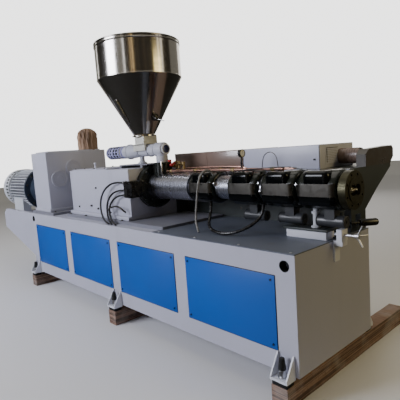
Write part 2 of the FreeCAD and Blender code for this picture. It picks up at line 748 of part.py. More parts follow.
def make_feed():
    top = f"({AXIS} + throat_height)"
    ribs = [upright("ThroatCore", "throat_radius", THROAT, "0", (AXIS, top))]
    for i in range(SIZES["throat_rib_count"]):
        turn = i * 360 / SIZES["throat_rib_count"]
        rib = doc.addObject("Part::Box", f"ThroatRib{i}")
        rib.Placement = FreeCAD.Placement(Vector(), Rotation(Vector(0, 0, 1), turn))
        ribs.append(bind(rib, Length="throat_radius + throat_rib", Width="throat_rib",
                         Height="throat_height",
                         base=(THROAT, "0", AXIS)))
    fit = along_x("ThroatFit", "sleeve_radius + zone_clearance",
                  (REAR_FLANGE_FACE, f"{REAR_FLANGE_FACE} + sleeve_length"), "0", AXIS)
    node("feed_throat", fused("Throat", *ribs), fit)

    left = f"({FEEDER_MID} - feeder_half_length)"
    right = f"({FEEDER_MID} + feeder_half_length)"
    leg = f"({left} + feeder_leg_shift)"
    bracket_low = f"({AXIS} + rear_flange_radius + zone_clearance)"
    bracket_top = f"({bracket_low} + bracket_thickness)"
    bracket_end = f"({THROAT} - throat_radius - throat_rib - 1)"
    bracket_start = f"({bracket_end} - bracket_length)"
    across = ("-bracket_width / 2", "bracket_width / 2")
    spacers = [box(f"BracketSpacer{i}", (x, f"{x} + bracket_spacer"), across,
                   (DISTRIBUTION_TOP, bracket_low))
               for i, x in enumerate((bracket_start, f"({DISTRIBUTION_END} - bracket_spacer)"))]
    node("feeder_bracket", fused("FeederBracket", box("BracketPlate", (bracket_start, bracket_end), across,
                                                      (bracket_low, bracket_top)), *spacers))
    body = fused("FeederBlank",
        along_x("FeederTube", "feeder_radius", (left, f"{THROAT} + spout_radius"), "0", FEEDER_AXIS),
        upright("FeederLeg", "feeder_leg_radius", leg, "0", (bracket_top, FEEDER_AXIS)),
        upright("FeederSpout", "spout_radius", THROAT, "0", (top, FEEDER_AXIS)),
        along_x("SightGlass", "sight_radius",
                (f"{THROAT} + spout_radius", f"{THROAT} + spout_radius + sight_thickness"),
                "0", FEEDER_AXIS))
    node("feeder_body", body)
    gear_start = f"({left} - feeder_gear_length)"
    node("feeder_gear", along_x("FeederGear", "feeder_gear_radius", (gear_start, left), "0", FEEDER_AXIS))
    motor = [along_x("FeederMotor", "feeder_motor_radius",
                     (f"{gear_start} - feeder_motor_length", gear_start),
                     "0", FEEDER_AXIS)]
    for i in range(6):
        station = f"({gear_start} - feeder_motor_length * {(i + 0.5) / 6})"
        motor.append(along_x(f"FeederFin{i}", "feeder_motor_radius + feeder_motor_fin",
                             (f"{station} - feeder_motor_fin", f"{station} + feeder_motor_fin"), "0",
                             FEEDER_AXIS))
    node("feeder_motor", fused("FeederMotorBody", *motor))

    half = "neck_size / 2"
    neck = box("Neck", (f"{HOPPER} - {half}", f"{HOPPER} + {half}"), (f"-{half}", half),
               (FEEDER_AXIS, NECK_TOP))
    fit = along_x("NeckFit", "feeder_radius + zone_clearance",
                  (f"{HOPPER} - neck_size", f"{HOPPER} + neck_size"),
                  "0", FEEDER_AXIS)
    gear_fit = along_x("NeckGearFit", "feeder_gear_radius + zone_clearance",
                       (f"{gear_start} - 1", f"{left} + zone_clearance"),
                       "0", FEEDER_AXIS)
    inlet = upright("NeckInlet", "hopper_outlet - hopper_wall", HOPPER, "0",
                    (f"{FEEDER_AXIS} + feeder_radius + neck_inlet_gap", f"{NECK_TOP} + 1"))
    node("hopper_neck", neck, fit, gear_fit, inlet)


def make_hopper():
    wall = "hopper_wall"
    shoulder = "hopper_cone_height"
    top = "hopper_cone_height + hopper_cylinder_height"
    outline = [("hopper_outlet - hopper_wall", "0"), ("hopper_outlet + hopper_flange", "0"),
               ("hopper_outlet + hopper_flange", "hopper_flange_thickness"),
               ("hopper_outlet + hopper_wall", "hopper_flange_thickness"),
               ("hopper_radius", shoulder), ("hopper_radius", top),
               (f"hopper_radius - {wall}", top), (f"hopper_radius - {wall}", f"{shoulder} + {wall} / 2")]
    shell = turned("HopperShell", outline, "V_Axis", (HOPPER, "0", NECK_TOP))
    beads = []
    for i in range(2):
        bead = doc.addObject("Part::Torus", f"HopperBead{i}")
        beads.append(bind(bead, Radius1="hopper_radius - hopper_wall / 2", Radius2="hopper_bead",
                          base=(HOPPER, "0", f"{NECK_TOP} + {top} - {i} * hopper_bead_pitch")))
    node("hopper", fused("Hopper", shell, *beads))


# ---------------------------------------------------------------- rear

def make_rear():
    bottom = f"({DECK} + shelf_height)"
    shelf = box("Shelf", (SHELF_START, SHELF_END), ("shelf_front", SHELF_BACK), (bottom, SHELF_TOP))
    wall_y = f"({SIDE} - stand_wall_inset)"
    wall = box("StandWall", (SHELF_START, SHELF_END), (f"{wall_y} - stand_plate", wall_y),
               (DECK_TOP, bottom))
    outline = [("shelf_front", "0"), (SIDE, "0"), (SIDE, "shelf_height * stand_step_share"),
               (f"{SIDE} + shelf_overhang * stand_reach_share", "shelf_height * stand_waist_share"),
               (SHELF_BACK, "shelf_height - deck_thickness"),
               ("shelf_front", "shelf_height - deck_thickness")]
    plates = [padded(f"StandEnd{i}", "YZ_Plane", outline, "stand_plate", (x, "0", DECK_TOP))
              for i, x in enumerate((f"{SHELF_START} + stand_plate / 2", f"{SHELF_END} - stand_plate / 2"))]
    window = box("StandWindow", (f"{SHELF_END} - stand_plate - 1", f"{SHELF_END} + 1"),
                 (f"{SIDE} - stand_window_front", f"{SIDE} - stand_window_back"),
                 (f"{DECK_TOP} + stand_window_low", f"{DECK_TOP} + stand_window_high"))
    plate_fit = box("StandPlateFit", (f"{SHELF_START} - 1", f"{END} - deck_length"),
                    ("0", "distribution_plate_width / 2"), (DECK, GEARBOX_BOTTOM))
    node("rear_stand", fused("RearStand", shelf, wall, *plates), window, plate_fit)

    across = (CONTROL_FRONT, f"{CONTROL_FRONT} + control_depth")
    up = (SHELF_TOP, f"{SHELF_TOP} + control_height")
    node("control_box", box("ControlBox", (CONTROL_START, CONTROL_END), across, up))
    node("duct_box", box("DuctBox", (SHELF_START, CONTROL_START), across, up))

    hood_start = f"({SHELF_END} - hood_length)"
    outline = [("hood_front", "0"), (SHELF_BACK, "0"), (f"{SHELF_BACK} + hood_overhang", "hood_corner"),
               (f"{SHELF_BACK} + hood_overhang", "hood_height - hood_corner / 2"),
               (f"{SHELF_BACK} + hood_overhang / 2", "hood_height"),
               ("hood_front + hood_corner", "hood_height - hood_corner / 4"),
               ("hood_front", "hood_height - hood_corner")]
    hood = padded("Hood", "YZ_Plane", outline, "hood_length",
                  (f"{hood_start} + hood_length / 2", "0", SHELF_TOP))
    node("rear_duct", fused("RearDuct", hood,
        along_x("Duct", "duct_radius", (CONTROL_END, hood_start), "duct_y", f"{SHELF_TOP} + duct_rise")))


# ---------------------------------------------------------------- fittings

def make_fittings():
    top = f"({AXIS} + zone_radius - zone_top_step + pipe_gap)"
    zones = [ZONES[f"heater_zone_{n}"] for n in (1, 3)]
    pipes = [along_x(f"Pipe{i}", "pipe_radius", (x0, x1), y, f"{top} + pipe_radius")
             for i, (x0, x1, y) in enumerate(((f"{THROAT} + throat_radius + pipe_start", zones[1],
                                               "-pipe_spacing / 2"),
                                              (f"{THROAT} + throat_radius + pipe_start * 2",
                                               f"{zones[0]} + zone_length / 2", "pipe_spacing / 2")))]
    node("oil_pipes", group("OilPipes", *pipes))
    gauge_x = f"({ZONES['heater_zone_2']} + gauge_shift)"
    dial_z = f"({AXIS} + zone_radius + gauge_stem_height + gauge_radius)"
    dial = along_x("GaugeDial", "gauge_radius",
                   (f"{gauge_x} - gauge_thickness / 2", f"{gauge_x} + gauge_thickness / 2"), "0", dial_z)
    stem = upright("GaugeStem", "gauge_stem_radius", gauge_x, "0",
                   (f"{AXIS} + zone_radius + zone_clearance", dial_z))
    node("pressure_gauge", fused("Gauge", dial, stem))

    # The cone's wall leans out by this much, and the fittings lie along it.
    run = worth("hopper_radius - hopper_outlet - hopper_wall")
    rise = worth("hopper_cone_height - hopper_flange_thickness")
    lean = math.degrees(math.atan2(run, rise))
    fittings = []
    for kind, azimuth, share in (("Window", -90, "window_share"), ("Valve", 0, "valve_share")):
        out = worth("hopper_outlet + hopper_wall") + run * SIZES[share]
        height = worth(NECK_TOP) + worth("hopper_flange_thickness") + rise * SIZES[share]
        turn = Rotation(Vector(0, 0, 1), azimuth) * Rotation(Vector(0, 1, 0), lean)
        normal = turn.multVec(Vector(1, 0, 0))
        radial = Vector(math.cos(math.radians(azimuth)), math.sin(math.radians(azimuth)), 0)
        foot = Vector(worth(HOPPER), 0, height) + radial * out + normal * worth("zone_clearance")
        if kind == "Window":
            size = [worth(f"window_{word}") for word in ("thickness", "width", "length")]
            solid = Part.makeBox(*size, Vector(0, -size[1] / 2, -size[2] / 2))
        else:
            solid = Part.makeCylinder(worth("valve_radius"), worth("valve_length"), Vector(),
                                      Vector(1, 0, 0))
        piece = doc.addObject("Part::Feature", f"Hopper{kind}")
        piece.Shape = solid
        piece.Placement = FreeCAD.Placement(foot, turn)
        fittings.append(piece)
    node("hopper_fittings", group("HopperFittings", *fittings))


# ---------------------------------------------------------------- cords

# Each route is a list of points: straight out of its exit, then under its own weight. The points
# are counted from the bed's discharge end, the machine's middle plane and the deck.
CORDS = {
    "hose_upper": ("hose_diameter", [
        (-1595, -268, 325), (-1650, -268, 325), (-1725, -271, 327), (-1805, -276, 314), (-1880, -282, 281),
        (-1938, -288, 228), (-1968, -294, 160), (-1958, -302, 92), (-1905, -318, 40), (-1830, -338, 13),
        (-1762, -349, 4)]),
    "hose_middle": ("hose_diameter", [
        (-1595, -262, 264), (-1646, -262, 264), (-1712, -264, 262), (-1782, -268, 246), (-1846, -273, 210),
        (-1885, -280, 150), (-1880, -290, 88), (-1838, -308, 44), (-1778, -329, 16), (-1722, -346, 4)]),
    "hose_lower": ("hose_diameter", [
        (-1595, -264, 227), (-1640, -264, 227), (-1702, -268, 223), (-1768, -277, 200), (-1822, -288, 152),
        (-1830, -300, 90), (-1786, -314, 42), (-1722, -334, 14), (-1662, -347, 4)]),
    "cable_grey": ("grey_cable_diameter", [
        (-838, -62, 362), (-837, -82.4, 389.2), (-840, -116.8, 399.7), (-846, -150.9, 388),
        (-856, -175, 353.6),
        (-866, -183.6, 292.2), (-876, -188, 225), (-883, -194, 158), (-882, -204, 98), (-864, -220, 46),
        (-830, -234, 9)]),
    "cable_black": ("black_cable_diameter", [
        (-842, -96, 192.7), (-842, -96, 150), (-834, -120, 98), (-808, -160, 60), (-764, -196, 36),
        (-706, -220, 24),
        (-640, -228, 18), (-574, -218, 22), (-516, -196, 36), (-462, -164, 62), (-420, -124, 102),
        (-398, -100, 148),
        (-398, -100, 192.7)]),
}


def cord(label, diameter, points):
    """A round cord along straight runs joined by tangent arcs, as large as the runs allow."""
    points = [Vector(worth(END) + x, y, worth(DECK) + z) for x, y, z in points]
    runs = [after - before for before, after in zip(points, points[1:])]
    edges = []
    radii = []
    start = points[0]
    for corner, before, after in zip(points[1:], runs, runs[1:]):
        back = 0.45 * min(before.Length, after.Length)
        radius = back / math.tan(before.getAngle(after) / 2)
        radii.append(radius)
        entry = corner - Vector(before).normalize() * back
        leave = corner + Vector(after).normalize() * back
        inwards = ((entry + leave) / 2 - corner).normalize()
        middle = corner + inwards * (math.hypot(radius, back) - radius)
        edges.append(Part.LineSegment(start, entry).toShape())
        edges.append(Part.Arc(entry, middle, leave).toShape())
        start = leave
    edges.append(Part.LineSegment(start, points[-1]).toShape())
    path = Part.Wire(edges)
    ring = Part.Wire([Part.Circle(points[0], runs[0], diameter / 2).toShape()])
    tube = path.makePipeShell([ring], True, False)
    section = math.pi * diameter ** 2 / 4
    print(f"{label}: {path.Length:.0f} mm long, tightest radius {min(radii):.0f} mm, volume "
          f"{tube.Volume / (section * path.Length):.4f} of section times length")
    piece = doc.addObject("Part::Feature", f"{label}_tube")
    piece.Shape = tube
    node(label, piece)


# ---------------------------------------------------------------- the whole machine

def write_parts():
    """Check every object of the document and every sub-part, then write the sub-parts."""
    doc.recompute()
    failed = [thing.Label for thing in doc.Objects if {"Invalid", "Error"} & set(thing.State)]
    if failed:
        raise RuntimeError(f"not built: {failed}")
    for label, thing in nodes.items():
        if thing.Shape.isNull() or not thing.Shape.isValid():
            raise RuntimeError(f"{label} has no valid shape")
    os.makedirs("parts", exist_ok=True)
    for label, thing in nodes.items():
        thing.Shape.exportStep(f"parts/{label}.step")
    print(f"{len(nodes)} sub-parts written")


make_bed()
make_feet()
make_motor()
make_gearboxes()
make_barrel()
make_under_barrel()
make_handwheel()
make_feed()
make_hopper()
make_rear()
make_fittings()
for name, (size, route) in CORDS.items():
    cord(name, worth(size), route)
write_parts()
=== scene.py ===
"""Looks of a conical twin-screw plastic extruder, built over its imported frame."""
import json
import math

import bpy
from mathutils import Matrix, Vector

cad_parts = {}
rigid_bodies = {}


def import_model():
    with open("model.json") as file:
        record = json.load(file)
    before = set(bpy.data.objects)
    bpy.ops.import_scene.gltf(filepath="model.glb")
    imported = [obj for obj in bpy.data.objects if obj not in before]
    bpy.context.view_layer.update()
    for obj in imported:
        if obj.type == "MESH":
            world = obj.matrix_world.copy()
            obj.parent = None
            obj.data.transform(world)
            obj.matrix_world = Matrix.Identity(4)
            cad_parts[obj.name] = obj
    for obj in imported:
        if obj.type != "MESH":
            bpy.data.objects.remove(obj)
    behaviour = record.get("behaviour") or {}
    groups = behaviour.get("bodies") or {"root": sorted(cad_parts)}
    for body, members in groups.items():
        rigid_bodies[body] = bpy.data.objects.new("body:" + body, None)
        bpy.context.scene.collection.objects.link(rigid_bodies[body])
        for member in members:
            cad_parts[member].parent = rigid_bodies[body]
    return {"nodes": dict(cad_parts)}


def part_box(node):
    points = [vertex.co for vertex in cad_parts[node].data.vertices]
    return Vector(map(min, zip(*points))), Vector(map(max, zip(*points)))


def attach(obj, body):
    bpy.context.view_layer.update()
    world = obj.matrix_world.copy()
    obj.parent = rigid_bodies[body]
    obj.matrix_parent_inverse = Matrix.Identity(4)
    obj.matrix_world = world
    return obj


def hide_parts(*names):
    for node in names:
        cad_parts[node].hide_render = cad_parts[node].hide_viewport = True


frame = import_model()

bl_info = {
    "name": "Plastic Extruder",
    "version": (1, 0, 0),
    "blender": (4, 5, 0),
    "location": "View3D > Sidebar > Extruder",
    "description": "Builds the looks of a plastic extruder over its CAD frame",
    "category": "Object",
}

MACHINE = "machine"
X, Y, Z = Vector((1, 0, 0)), Vector((0, 1, 0)), Vector((0, 0, 1))
PLACE = {name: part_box(name) for name in frame["nodes"]}
ZONES = [f"heater_zone_{number}" for number in (1, 2, 3, 4)]
FOOT_INSET = 0.074
FEEDER_DROP_X = 0.212


def tone(red, green, blue):
    """A display colour, 0 to 255, as the linear one that shaders take."""
    return tuple(((c / 255 + 0.055) / 1.055) ** 2.4 if c > 10 else c / 3294.6 for c in (red, green, blue))


def colour_property(name, red, green, blue, description):
    return bpy.props.FloatVectorProperty(name=name, description=description, subtype="COLOR", size=3, min=0,
                                         max=1, default=tone(red, green, blue))


def length_property(name, default, description):
    return bpy.props.FloatProperty(name=name, description=description, default=default, min=0.0001,
                                   unit="LENGTH")


class ExtruderPaints(bpy.types.PropertyGroup):
    """The colours that an owner would change."""
    bed: colour_property("Bed", 178, 179, 194, "Enamel of the bed and the housings")
    panel: colour_property("Panels", 0, 86, 176, "Enamel of the bed's side covers")
    deck: colour_property("Deck", 90, 96, 110, "Enamel of the deck plate")
    motor: colour_property("Motor", 200, 204, 212, "Enamel of the drive motor")
    coupling: colour_property("Coupling", 44, 54, 70, "Enamel of the couplings")
    shroud: colour_property("Heater shrouds", 4, 6, 8, "Gloss enamel of the heater shrouds")
    feeder: colour_property("Feeder", 186, 188, 200, "Coat of the feeder's castings")
    feeder_motor: colour_property("Feeder motor", 166, 166, 206, "Enamel of the feeder's motor")
    neck: colour_property("Hopper neck", 205, 204, 196, "Enamel of the box under the hopper")
    stand: colour_property("Shelf", 50, 56, 56, "Enamel of the rear shelf and its end plates")
    control: colour_property("Control box", 186, 188, 206, "Enamel of the control box")
    duct: colour_property("Ducts", 128, 108, 98, "Enamel of the duct box")
    hood: colour_property("Duct hood", 58, 52, 45, "Enamel of the flared hood")
    timber: colour_property("Timbers", 142, 114, 98, "Wood of the shipping timbers")
    wrap: colour_property("Wrapping paper", 138, 112, 92, "Paper round the spare part")


class ExtruderSizes(bpy.types.PropertyGroup):
    """The sizes of the small hardware that an owner would change."""
    panel_screw: length_property("Panel screw", 0.007, "Radius of a cover's screw head")
    case_bolt: length_property("Housing bolt", 0.012, "Radius of a housing's bolt and washer")
    flange_bolt: length_property("Flange bolt", 0.014, "Radius of the rear flange's bolts")
    edge_round: length_property("Edge rounding", 0.006, "Rounding of the housings' edges")
    strip: length_property("Joint strip", 0.004, "How far the shrouds' joint strip stands out")
    wire: length_property("Wire", 0.0025, "Radius of the thin bent tubes")


# ---------------------------------------------------------------- modelling steps

def clear():
    """Leave edit mode and deselect everything."""
    if bpy.context.object and bpy.context.object.mode != "OBJECT":
        bpy.ops.object.mode_set(mode="OBJECT")
    bpy.ops.object.select_all(action="DESELECT")


def only(piece):
    """Select one piece alone and make it the active one."""
    clear()
    piece.select_set(True)
    bpy.context.view_layer.objects.active = piece
    return piece


def begun(name):
    """Name the new primitive, bring its place into its mesh and open it for editing."""
    piece = bpy.context.active_object
    piece.name = name
    bpy.ops.object.transform_apply(location=True, rotation=True, scale=True)
    bpy.ops.object.mode_set(mode="EDIT")
    bpy.ops.mesh.select_mode(type="VERT")
    return piece


def pick(piece, test):
    """Select, in edit mode, the faces that the test picks by centre and normal."""
    bpy.ops.object.mode_set(mode="EDIT")
    bpy.ops.mesh.select_mode(type="FACE")
    bpy.ops.mesh.select_all(action="DESELECT")
    bpy.ops.object.mode_set(mode="OBJECT")
    for face in piece.data.polygons:
        face.select = test(face.center, face.normal)
    bpy.ops.object.mode_set(mode="EDIT")


def box_between(name, low, high):
    """A plain box between two corners, open for editing."""
    clear()
    low, high = Vector(low), Vector(high)
    bpy.ops.mesh.primitive_cube_add(size=1, location=(low + high) / 2, scale=high - low)
    return begun(name)


def block(name, low, high, bevel=0.003, segments=2):
    """A block between two corners with its edges rounded."""
    piece = box_between(name, low, high)
    bpy.ops.mesh.select_all(action="SELECT")
    bpy.ops.mesh.bevel(offset=bevel, segments=segments, affect="EDGES")
    bpy.ops.object.mode_set(mode="OBJECT")
    return piece


def lip_block(name, low, high, corner, edge):
    """A block thinner than its corners' radius. What that rounding leaves sharp is rounded too."""
    piece = box_between(name, low, high)
    bpy.ops.mesh.select_mode(type="EDGE")
    bpy.ops.mesh.select_all(action="SELECT")
    bpy.ops.mesh.bevel(offset=corner, segments=10, affect="EDGES")
    bpy.ops.mesh.select_all(action="DESELECT")
    bpy.ops.mesh.edges_select_sharp(sharpness=math.radians(60))
    bpy.ops.mesh.bevel(offset=edge, segments=3, affect="EDGES")
    bpy.ops.object.mode_set(mode="OBJECT")
    return piece


def sunk(piece, test, rim, depth):
    """Inset the picked face by a rim and press it in."""
    pick(piece, test)
    bpy.ops.mesh.inset(thickness=rim)
    bpy.ops.mesh.extrude_region_shrink_fatten(TRANSFORM_OT_shrink_fatten={"value": -depth})
    bpy.ops.object.mode_set(mode="OBJECT")
    return piece


def rod(name, start, end, radius, bevel=0.001, sides=32):
    """A round bar, or a bar with few sides, with its end rims rounded."""
    clear()
    start, end = Vector(start), Vector(end)
    turn = (end - start).to_track_quat("Z", "Y").to_euler()
    bpy.ops.mesh.primitive_cylinder_add(vertices=sides, radius=radius, depth=(end - start).length,
                                        location=(start + end) / 2, rotation=turn)
    piece = begun(name)
    bpy.ops.mesh.select_all(action="DESELECT")
    bpy.ops.mesh.edges_select_sharp(sharpness=math.radians(62))
    bpy.ops.mesh.bevel(offset=bevel, segments=2, affect="EDGES")
    bpy.ops.object.mode_set(mode="OBJECT")
    return piece


def turned(name, outline, base, axis=Z, steps=64):
    """A piece spun from its half-section, given as (radius, distance along the axis) pairs."""
    clear()
    base = Vector(base)
    out = axis.orthogonal().normalized()
    points = [base + out * radius + axis * along for radius, along in outline]
    bpy.ops.mesh.primitive_plane_add(size=0.001, location=points[0])
    piece = begun(name)
    bpy.ops.mesh.select_all(action="SELECT")
    bpy.ops.mesh.merge(type="CENTER")
    for before, after in zip(points, points[1:]):
        bpy.ops.mesh.extrude_vertices_move(TRANSFORM_OT_translate={"value": after - before})
    bpy.ops.mesh.select_all(action="SELECT")
    bpy.ops.mesh.spin(steps=steps, angle=math.tau, center=base, axis=axis)
    bpy.ops.mesh.select_all(action="SELECT")
    bpy.ops.mesh.remove_doubles(threshold=0.00002)
    bpy.ops.mesh.normals_make_consistent(inside=False)
    bpy.ops.object.mode_set(mode="OBJECT")
    return piece


def settled(piece, place):
    """Bring a piece made at the origin to its place, a matrix, and into its mesh."""
    only(piece)
    piece.matrix_world = place
    bpy.ops.object.transform_apply(location=True, rotation=True, scale=True)


def arc(centre, size, start, stop, steps):
    """Points of a half-section round a part of a circle, between two angles."""
    angles = [start + (stop - start) * i / steps for i in range(steps + 1)]
    return [(centre[0] + size * math.cos(angle), centre[1] + size * math.sin(angle)) for angle in angles]


def joined(name, *pieces):
    """Several pieces as one object."""
    clear()
    for piece in pieces:
        piece.select_set(True)
    bpy.context.view_layer.objects.active = pieces[0]
    if len(pieces) > 1:
        bpy.ops.object.join()
    pieces[0].name = name
    bpy.ops.object.transform_apply(location=True, rotation=True, scale=True)
    return pieces[0]


def repeated(piece, places):
    """The piece copied to each place, a shift or a matrix, and joined into one object."""
    copies = []
    for place in places:
        only(piece)
        bpy.ops.object.duplicate(linked=False)
        copy = bpy.context.active_object
        copy.matrix_world = place if isinstance(place, Matrix) else Matrix.Translation(place)
        copies.append(copy)
    name = piece.name
    bpy.data.objects.remove(piece)
    return joined(name, *copies)


def round_about(centre, axis, count, start=0.0):
    """Turns about an axis through a centre, evenly spaced over the whole circle."""
    centre = Vector(centre)
    return [Matrix.Translation(centre) @ Matrix.Rotation(start + math.tau * i / count, 4, axis)
            @ Matrix.Translation(-centre) for i in range(count)]


def bolt(name, foot, axis, size):
    """A hex bolt on its washer, head outwards along the axis."""
    foot = Vector(foot)
    washer = rod(f"{name}_washer", foot - axis * 0.001, foot + axis * size * 0.16, size, size * 0.05, 20)
    head = rod(f"{name}_head", foot, foot + axis * size * 0.8, size * 0.8, size * 0.09, 6)
    return joined(name, washer, head)


def bent_pipe(name, points, radius, rounds=3):
    """A pipe bent smoothly along its points, made a mesh."""
    clear()
    curve = bpy.data.curves.new(name, "CURVE")
    curve.dimensions = "3D"
    curve.bevel_depth = radius
    curve.bevel_resolution = rounds
    curve.use_fill_caps = True
    curve.resolution_u = 6
    line_through(curve, points)
    piece = bpy.data.objects.new(name, curve)
    bpy.context.collection.objects.link(piece)
    only(piece)
    bpy.ops.object.convert(target="MESH")
    return bpy.context.active_object


def line_through(curve, points):
    """Give a curve one smooth open line with the points as its controls."""
    line = curve.splines.new("NURBS")
    line.points.add(len(points) - 1)
    for knot, point in zip(line.points, points):
        knot.co = (*point, 1)
    line.order_u = 3
    line.use_endpoint_u = True


def dressed(piece, finish, slot, *stands_for, angle=35):
    """Smooth a finished piece, give it its finish and say which CAD nodes it stands for; the slot is not used."""
    only(piece)
    bpy.ops.object.shade_smooth_by_angle(angle=math.radians(angle))
    piece.data.materials.clear()
    piece.data.materials.append(finishes[finish])
    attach(piece, MACHINE)
    if stands_for:
        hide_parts(*stands_for)


# ---------------------------------------------------------------- finishes

class Finish:
    """A material being made: its nodes, its shader and the piece's own coordinates."""

    def __init__(self, name, colour, roughness, metallic=0.0):
        self.material = bpy.data.materials.new(name)
        self.material.use_nodes = True
        self.material.diffuse_color = (*colour, 1)
        self.nodes = self.material.node_tree.nodes
        self.nodes.clear()
        self.shader = self.nodes.new("ShaderNodeBsdfPrincipled")
        self.link(self.shader.outputs["BSDF"], self.nodes.new("ShaderNodeOutputMaterial").inputs["Surface"])
        self.shader.inputs["Base Color"].default_value = (*colour, 1)
        self.shader.inputs["Roughness"].default_value = roughness
        self.shader.inputs["Metallic"].default_value = metallic
        self.place = self.nodes.new("ShaderNodeTexCoord").outputs["Object"]
        self.colour = (*colour, 1)
        self.height = None

    def link(self, source, target):
        self.material.node_tree.links.new(source, target)

    def feed(self, socket, value):
        """Link an output, or set a plain value."""
        if isinstance(value, bpy.types.NodeSocket):
            self.link(value, socket)
        else:
            socket.default_value = value

    def noise(self, scale, detail=4, stretch=(1, 1, 1)):
        """Cloudy noise, with each axis squeezed by its stretch."""
        mapping = self.nodes.new("ShaderNodeMapping")
        mapping.inputs["Scale"].default_value = stretch
        self.link(self.place, mapping.inputs["Vector"])
        node = self.nodes.new("ShaderNodeTexNoise")
        node.inputs["Scale"].default_value = scale
        node.inputs["Detail"].default_value = detail
        self.link(mapping.outputs["Vector"], node.inputs["Vector"])
        return node.outputs["Fac"]

    def cells(self, scale):
        node = self.nodes.new("ShaderNodeTexVoronoi")
        node.inputs["Scale"].default_value = scale
        self.link(self.place, node.inputs["Vector"])
        return node.outputs["Distance"]

    def along(self, letter, low, high):
        """0 at one coordinate and 1 at another."""
        parts = self.nodes.new("ShaderNodeSeparateXYZ")
        self.link(self.place, parts.inputs["Vector"])
        return self.between(parts.outputs[letter], low, high)

    def from_axis(self, height, low, high):
        """0 at one distance from a level axis along X and 1 at another."""
        mapping = self.nodes.new("ShaderNodeMapping")
        mapping.inputs["Location"].default_value = (0, 0, -height)
        mapping.inputs["Scale"].default_value = (0, 1, 1)
        self.link(self.place, mapping.inputs["Vector"])
        node = self.nodes.new("ShaderNodeVectorMath")
        node.operation = "LENGTH"
        self.link(mapping.outputs["Vector"], node.inputs[0])
        return self.between(node.outputs["Value"], low, high)

    def between(self, value, low, high, start=0.0, stop=1.0):
        """The value spread from one range to another, and held inside it."""
        node = self.nodes.new("ShaderNodeMapRange")
        node.interpolation_type = "SMOOTHSTEP"
        self.link(value, node.inputs["Value"])
        for socket, number in zip(("From Min", "From Max", "To Min", "To Max"), (low, high, start, stop)):
            node.inputs[socket].default_value = number
        return node.outputs["Result"]

    def times(self, first, second):
        node = self.nodes.new("ShaderNodeMath")
        node.operation = "MULTIPLY"
        self.feed(node.inputs[0], first)
        self.feed(node.inputs[1], second)
        return node.outputs["Value"]

    def tint(self, share, colour):
        """Lay a colour over the finish where the share says."""
        node = self.nodes.new("ShaderNodeMix")
        node.data_type = "RGBA"
        self.feed(node.inputs["Factor"], share)
        self.feed(node.inputs[6], self.colour)
        self.feed(node.inputs[7], (*colour, 1))
        self.colour = node.outputs[2]
        self.link(self.colour, self.shader.inputs["Base Color"])

    def stain(self, noise, low, high, most, colour):
        """Lay a colour over in clouds, given the noise's scale, detail and stretch."""
        self.tint(self.between(self.noise(*noise), low, high, 0, most), colour)

    def rough(self, value, low, high):
        self.link(self.between(value, 0.25, 0.75, low, high), self.shader.inputs["Roughness"])

    def relief(self, value, distance, strength=1.0):
        """Raise the surface by the value."""
        node = self.nodes.new("ShaderNodeBump")
        node.inputs["Distance"].default_value = distance
        node.inputs["Strength"].default_value = strength
        self.link(value, node.inputs["Height"])
        if self.height:
            self.link(self.height, node.inputs["Normal"])
        self.height = node.outputs["Normal"]
        self.link(self.height, self.shader.inputs["Normal"])


def shade_of(colour, amount):
    """A colour made darker, under 1, or lighter, over 1."""
    return tuple(min(1.0, c * amount) for c in colour)


def enamel(name, colour, roughness=0.36, wear=0.35, grime=(0.09, 0.08, 0.07), coat=0.0, shine=0.5):
    """Sprayed paint on sheet: slow unevenness, runs of grime, specks and a faint orange peel."""
    made = Finish(name, colour, roughness)
    made.stain((1.6, 3), 0.4, 0.7, 0.5, shade_of(colour, 0.9))
    made.stain((0.9, 2), 0.45, 0.75, 0.5, shade_of(colour, 1.1))
    made.stain((7, 2, (1, 1, 0.16)), 0.56, 0.9, wear, grime)
    made.stain((140, 3), 0.68, 0.78, wear * 0.8, grime)
    made.rough(made.noise(3, 2), roughness - 0.04, roughness + 0.05)
    made.relief(made.noise(260, 2), 0.0004, 0.08)
    made.relief(made.noise(2.2, 2), 0.012, 0.08)
    made.shader.inputs["Specular IOR Level"].default_value = shine
    made.shader.inputs["Coat Weight"].default_value = coat
    made.shader.inputs["Coat Roughness"].default_value = 0.08
    return made.material


def machined(name, colour, roughness, grain, stain=(0.1, 0.07, 0.05), tarnish=0.15, marks=1.0):
    """Bare metal with tool marks that run across the grain's fine axis."""
    made = Finish(name, colour, roughness, 1.0)
    made.stain((1, 5, grain), 0.35, 0.7, 0.35 * marks, shade_of(colour, 0.72))
    made.stain((2.4, 4), 0.45, 0.75, 0.45, shade_of(colour, 1.18))
    made.stain((14, 6), 0.6, 0.8, tarnish, stain)
    made.rough(made.noise(1, 4, grain), roughness * (1 - 0.25 * marks), roughness * (1 + 0.35 * marks))
    made.relief(made.noise(1, 3, grain), 0.0005, 0.18 * marks)
    return made.material


def rubbery(name, colour, roughness=0.55):
    """Moulded rubber or plastic: a fine skin, dust and scuffs."""
    made = Finish(name, colour, roughness)
    made.stain((11, 5), 0.52, 0.8, 0.3, (0.12, 0.11, 0.1))
    made.stain((160, 2), 0.62, 0.78, 0.25, (0.16, 0.15, 0.14))
    made.rough(made.noise(24, 4), roughness - 0.12, roughness + 0.15)
    made.relief(made.noise(500, 2), 0.0005, 0.22)
    return made.material


def cast(name, colour, roughness=0.5, metallic=0.0):
    """A painted or bare casting: sand grain under the coat and clouds of dirt."""
    made = Finish(name, colour, roughness, metallic)
    made.stain((6, 5), 0.42, 0.74, 0.45, shade_of(colour, 0.78))
    made.stain((48, 4), 0.6, 0.78, 0.35, (0.07, 0.06, 0.05))
    made.rough(made.noise(18, 4), roughness - 0.1, roughness + 0.12)
    made.relief(made.noise(210, 4), 0.0012, 0.3)
    made.relief(made.noise(26, 3), 0.003, 0.14)
    return made.material


